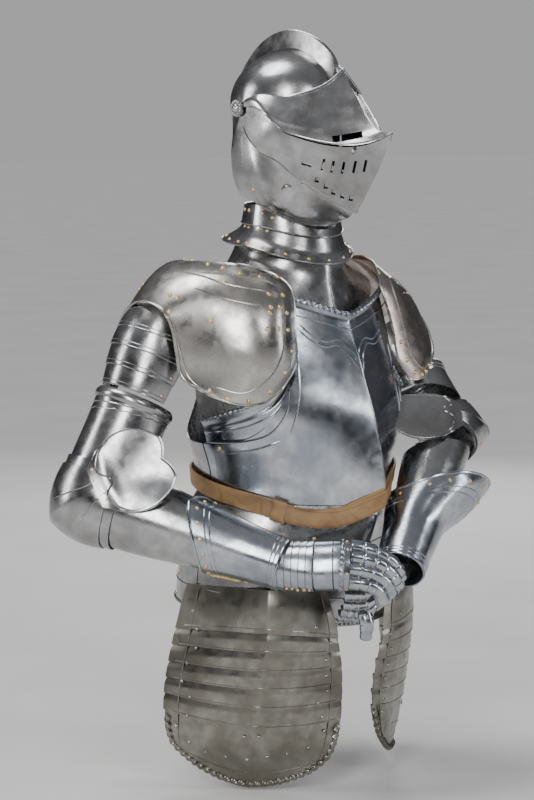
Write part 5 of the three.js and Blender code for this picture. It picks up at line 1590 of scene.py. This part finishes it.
def make_studio():
    mesh = bpy.data.meshes.new("floor")
    corners = [(-FLOOR_HALF, -FLOOR_HALF, 0), (FLOOR_HALF, -FLOOR_HALF, 0),
               (FLOOR_HALF, FLOOR_HALF, 0), (-FLOOR_HALF, FLOOR_HALF, 0)]
    mesh.from_pydata(corners, [], [(0, 1, 2, 3)])
    floor = bpy.data.objects.new("floor", mesh)
    floor.location = (0, 0, cad_low.z - FLOOR_BELOW)
    bpy.context.scene.collection.objects.link(floor)
    material, tree, shader = new_material("floor")
    place = add_node(tree, "ShaderNodeTexCoord").outputs["Object"]
    tint = ramp(tree, noise(tree, place, 3, 4), [(0.3, (0.60, 0.59, 0.58)), (0.7, (0.66, 0.65, 0.64))])
    tree.links.new(tint, shader.inputs["Base Color"])
    shader.inputs["Roughness"].default_value = 0.8
    mesh.materials.append(material)
    area_light("key", (-2.6, -1.9, 1.3), (0.9, 2.1), 62)
    area_light("fill", (2.2, -2.9, 0.7), (0.6, 2.2), 30, (0.93, 0.96, 1.0))
    area_light("front", (-0.7, -3.4, 1.9), (0.9, 0.9), 22)
    area_light("back_left", (-2.6, 1.9, 0.9), (0.6, 2.0), 32)
    area_light("back_right", (2.3, 2.2, 1.0), (0.8, 1.8), 30)
    data = bpy.data.lights.new("ceiling", "SUN")
    data.energy = CEILING_ENERGY
    data.angle = math.radians(30)
    ceiling = bpy.data.objects.new("ceiling", data)
    bpy.context.scene.collection.objects.link(ceiling)
    ceiling.rotation_euler = (math.radians(-14), math.radians(-16), 0)
    world = bpy.data.worlds.new("studio")
    bpy.context.scene.world = world
    world.use_nodes = True
    nodes = world.node_tree
    shader = nodes.nodes["Background"]
    place = add_node(nodes, "ShaderNodeTexCoord").outputs["Generated"]
    split = add_node(nodes, "ShaderNodeSeparateXYZ")
    nodes.links.new(place, split.inputs["Vector"])
    stops = [
        (0.0, (0.02, 0.02, 0.02)), (0.5, (0.03, 0.03, 0.034)),
        (0.7, (0.10, 0.10, 0.11)), (1.0, (0.32, 0.32, 0.33)),
    ]
    half_up = add_node(nodes, "ShaderNodeMapRange")
    half_up.inputs["From Min"].default_value = -1.0
    nodes.links.new(split.outputs["Z"], half_up.inputs["Value"])
    around = ramp(nodes, half_up.outputs["Result"], stops)
    path = add_node(nodes, "ShaderNodeLightPath")
    seen = blend_colours(nodes, path.outputs["Is Camera Ray"], around, BACKDROP)
    nodes.links.new(seen, shader.inputs["Color"])


def make_camera():
    data = bpy.data.cameras.new("camera")
    data.lens = LENS
    data.sensor_width = 36.0
    camera = bpy.data.objects.new("camera", data)
    bpy.context.scene.collection.objects.link(camera)
    camera.location = EYE * MM
    aim = Vector((TARGET - EYE) * MM)
    camera.rotation_mode = "QUATERNION"
    camera.rotation_quaternion = aim.to_track_quat("-Z", "Y")
    bpy.context.scene.camera = camera


make_camera()
make_studio()
make_helmet()
make_neck()
make_breast()
make_back()
make_gussets()
make_skirt()
make_tassets()
make_belt()
make_arm("right")
make_arm("left")
make_pauldrons()
make_hands()
for gathered in (
    brass_bits, steel_bits, bright_lines, pauldron_lines, dull_lines, arm_lines,
    bevor_brass, bevor_lines, ventail_lines, visor_lines,
):
    gathered.finish()
for node in ("pivot_right", "pivot_left"):
    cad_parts[node].data.materials.clear()
    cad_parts[node].data.materials.append(MATERIALS["steel"])
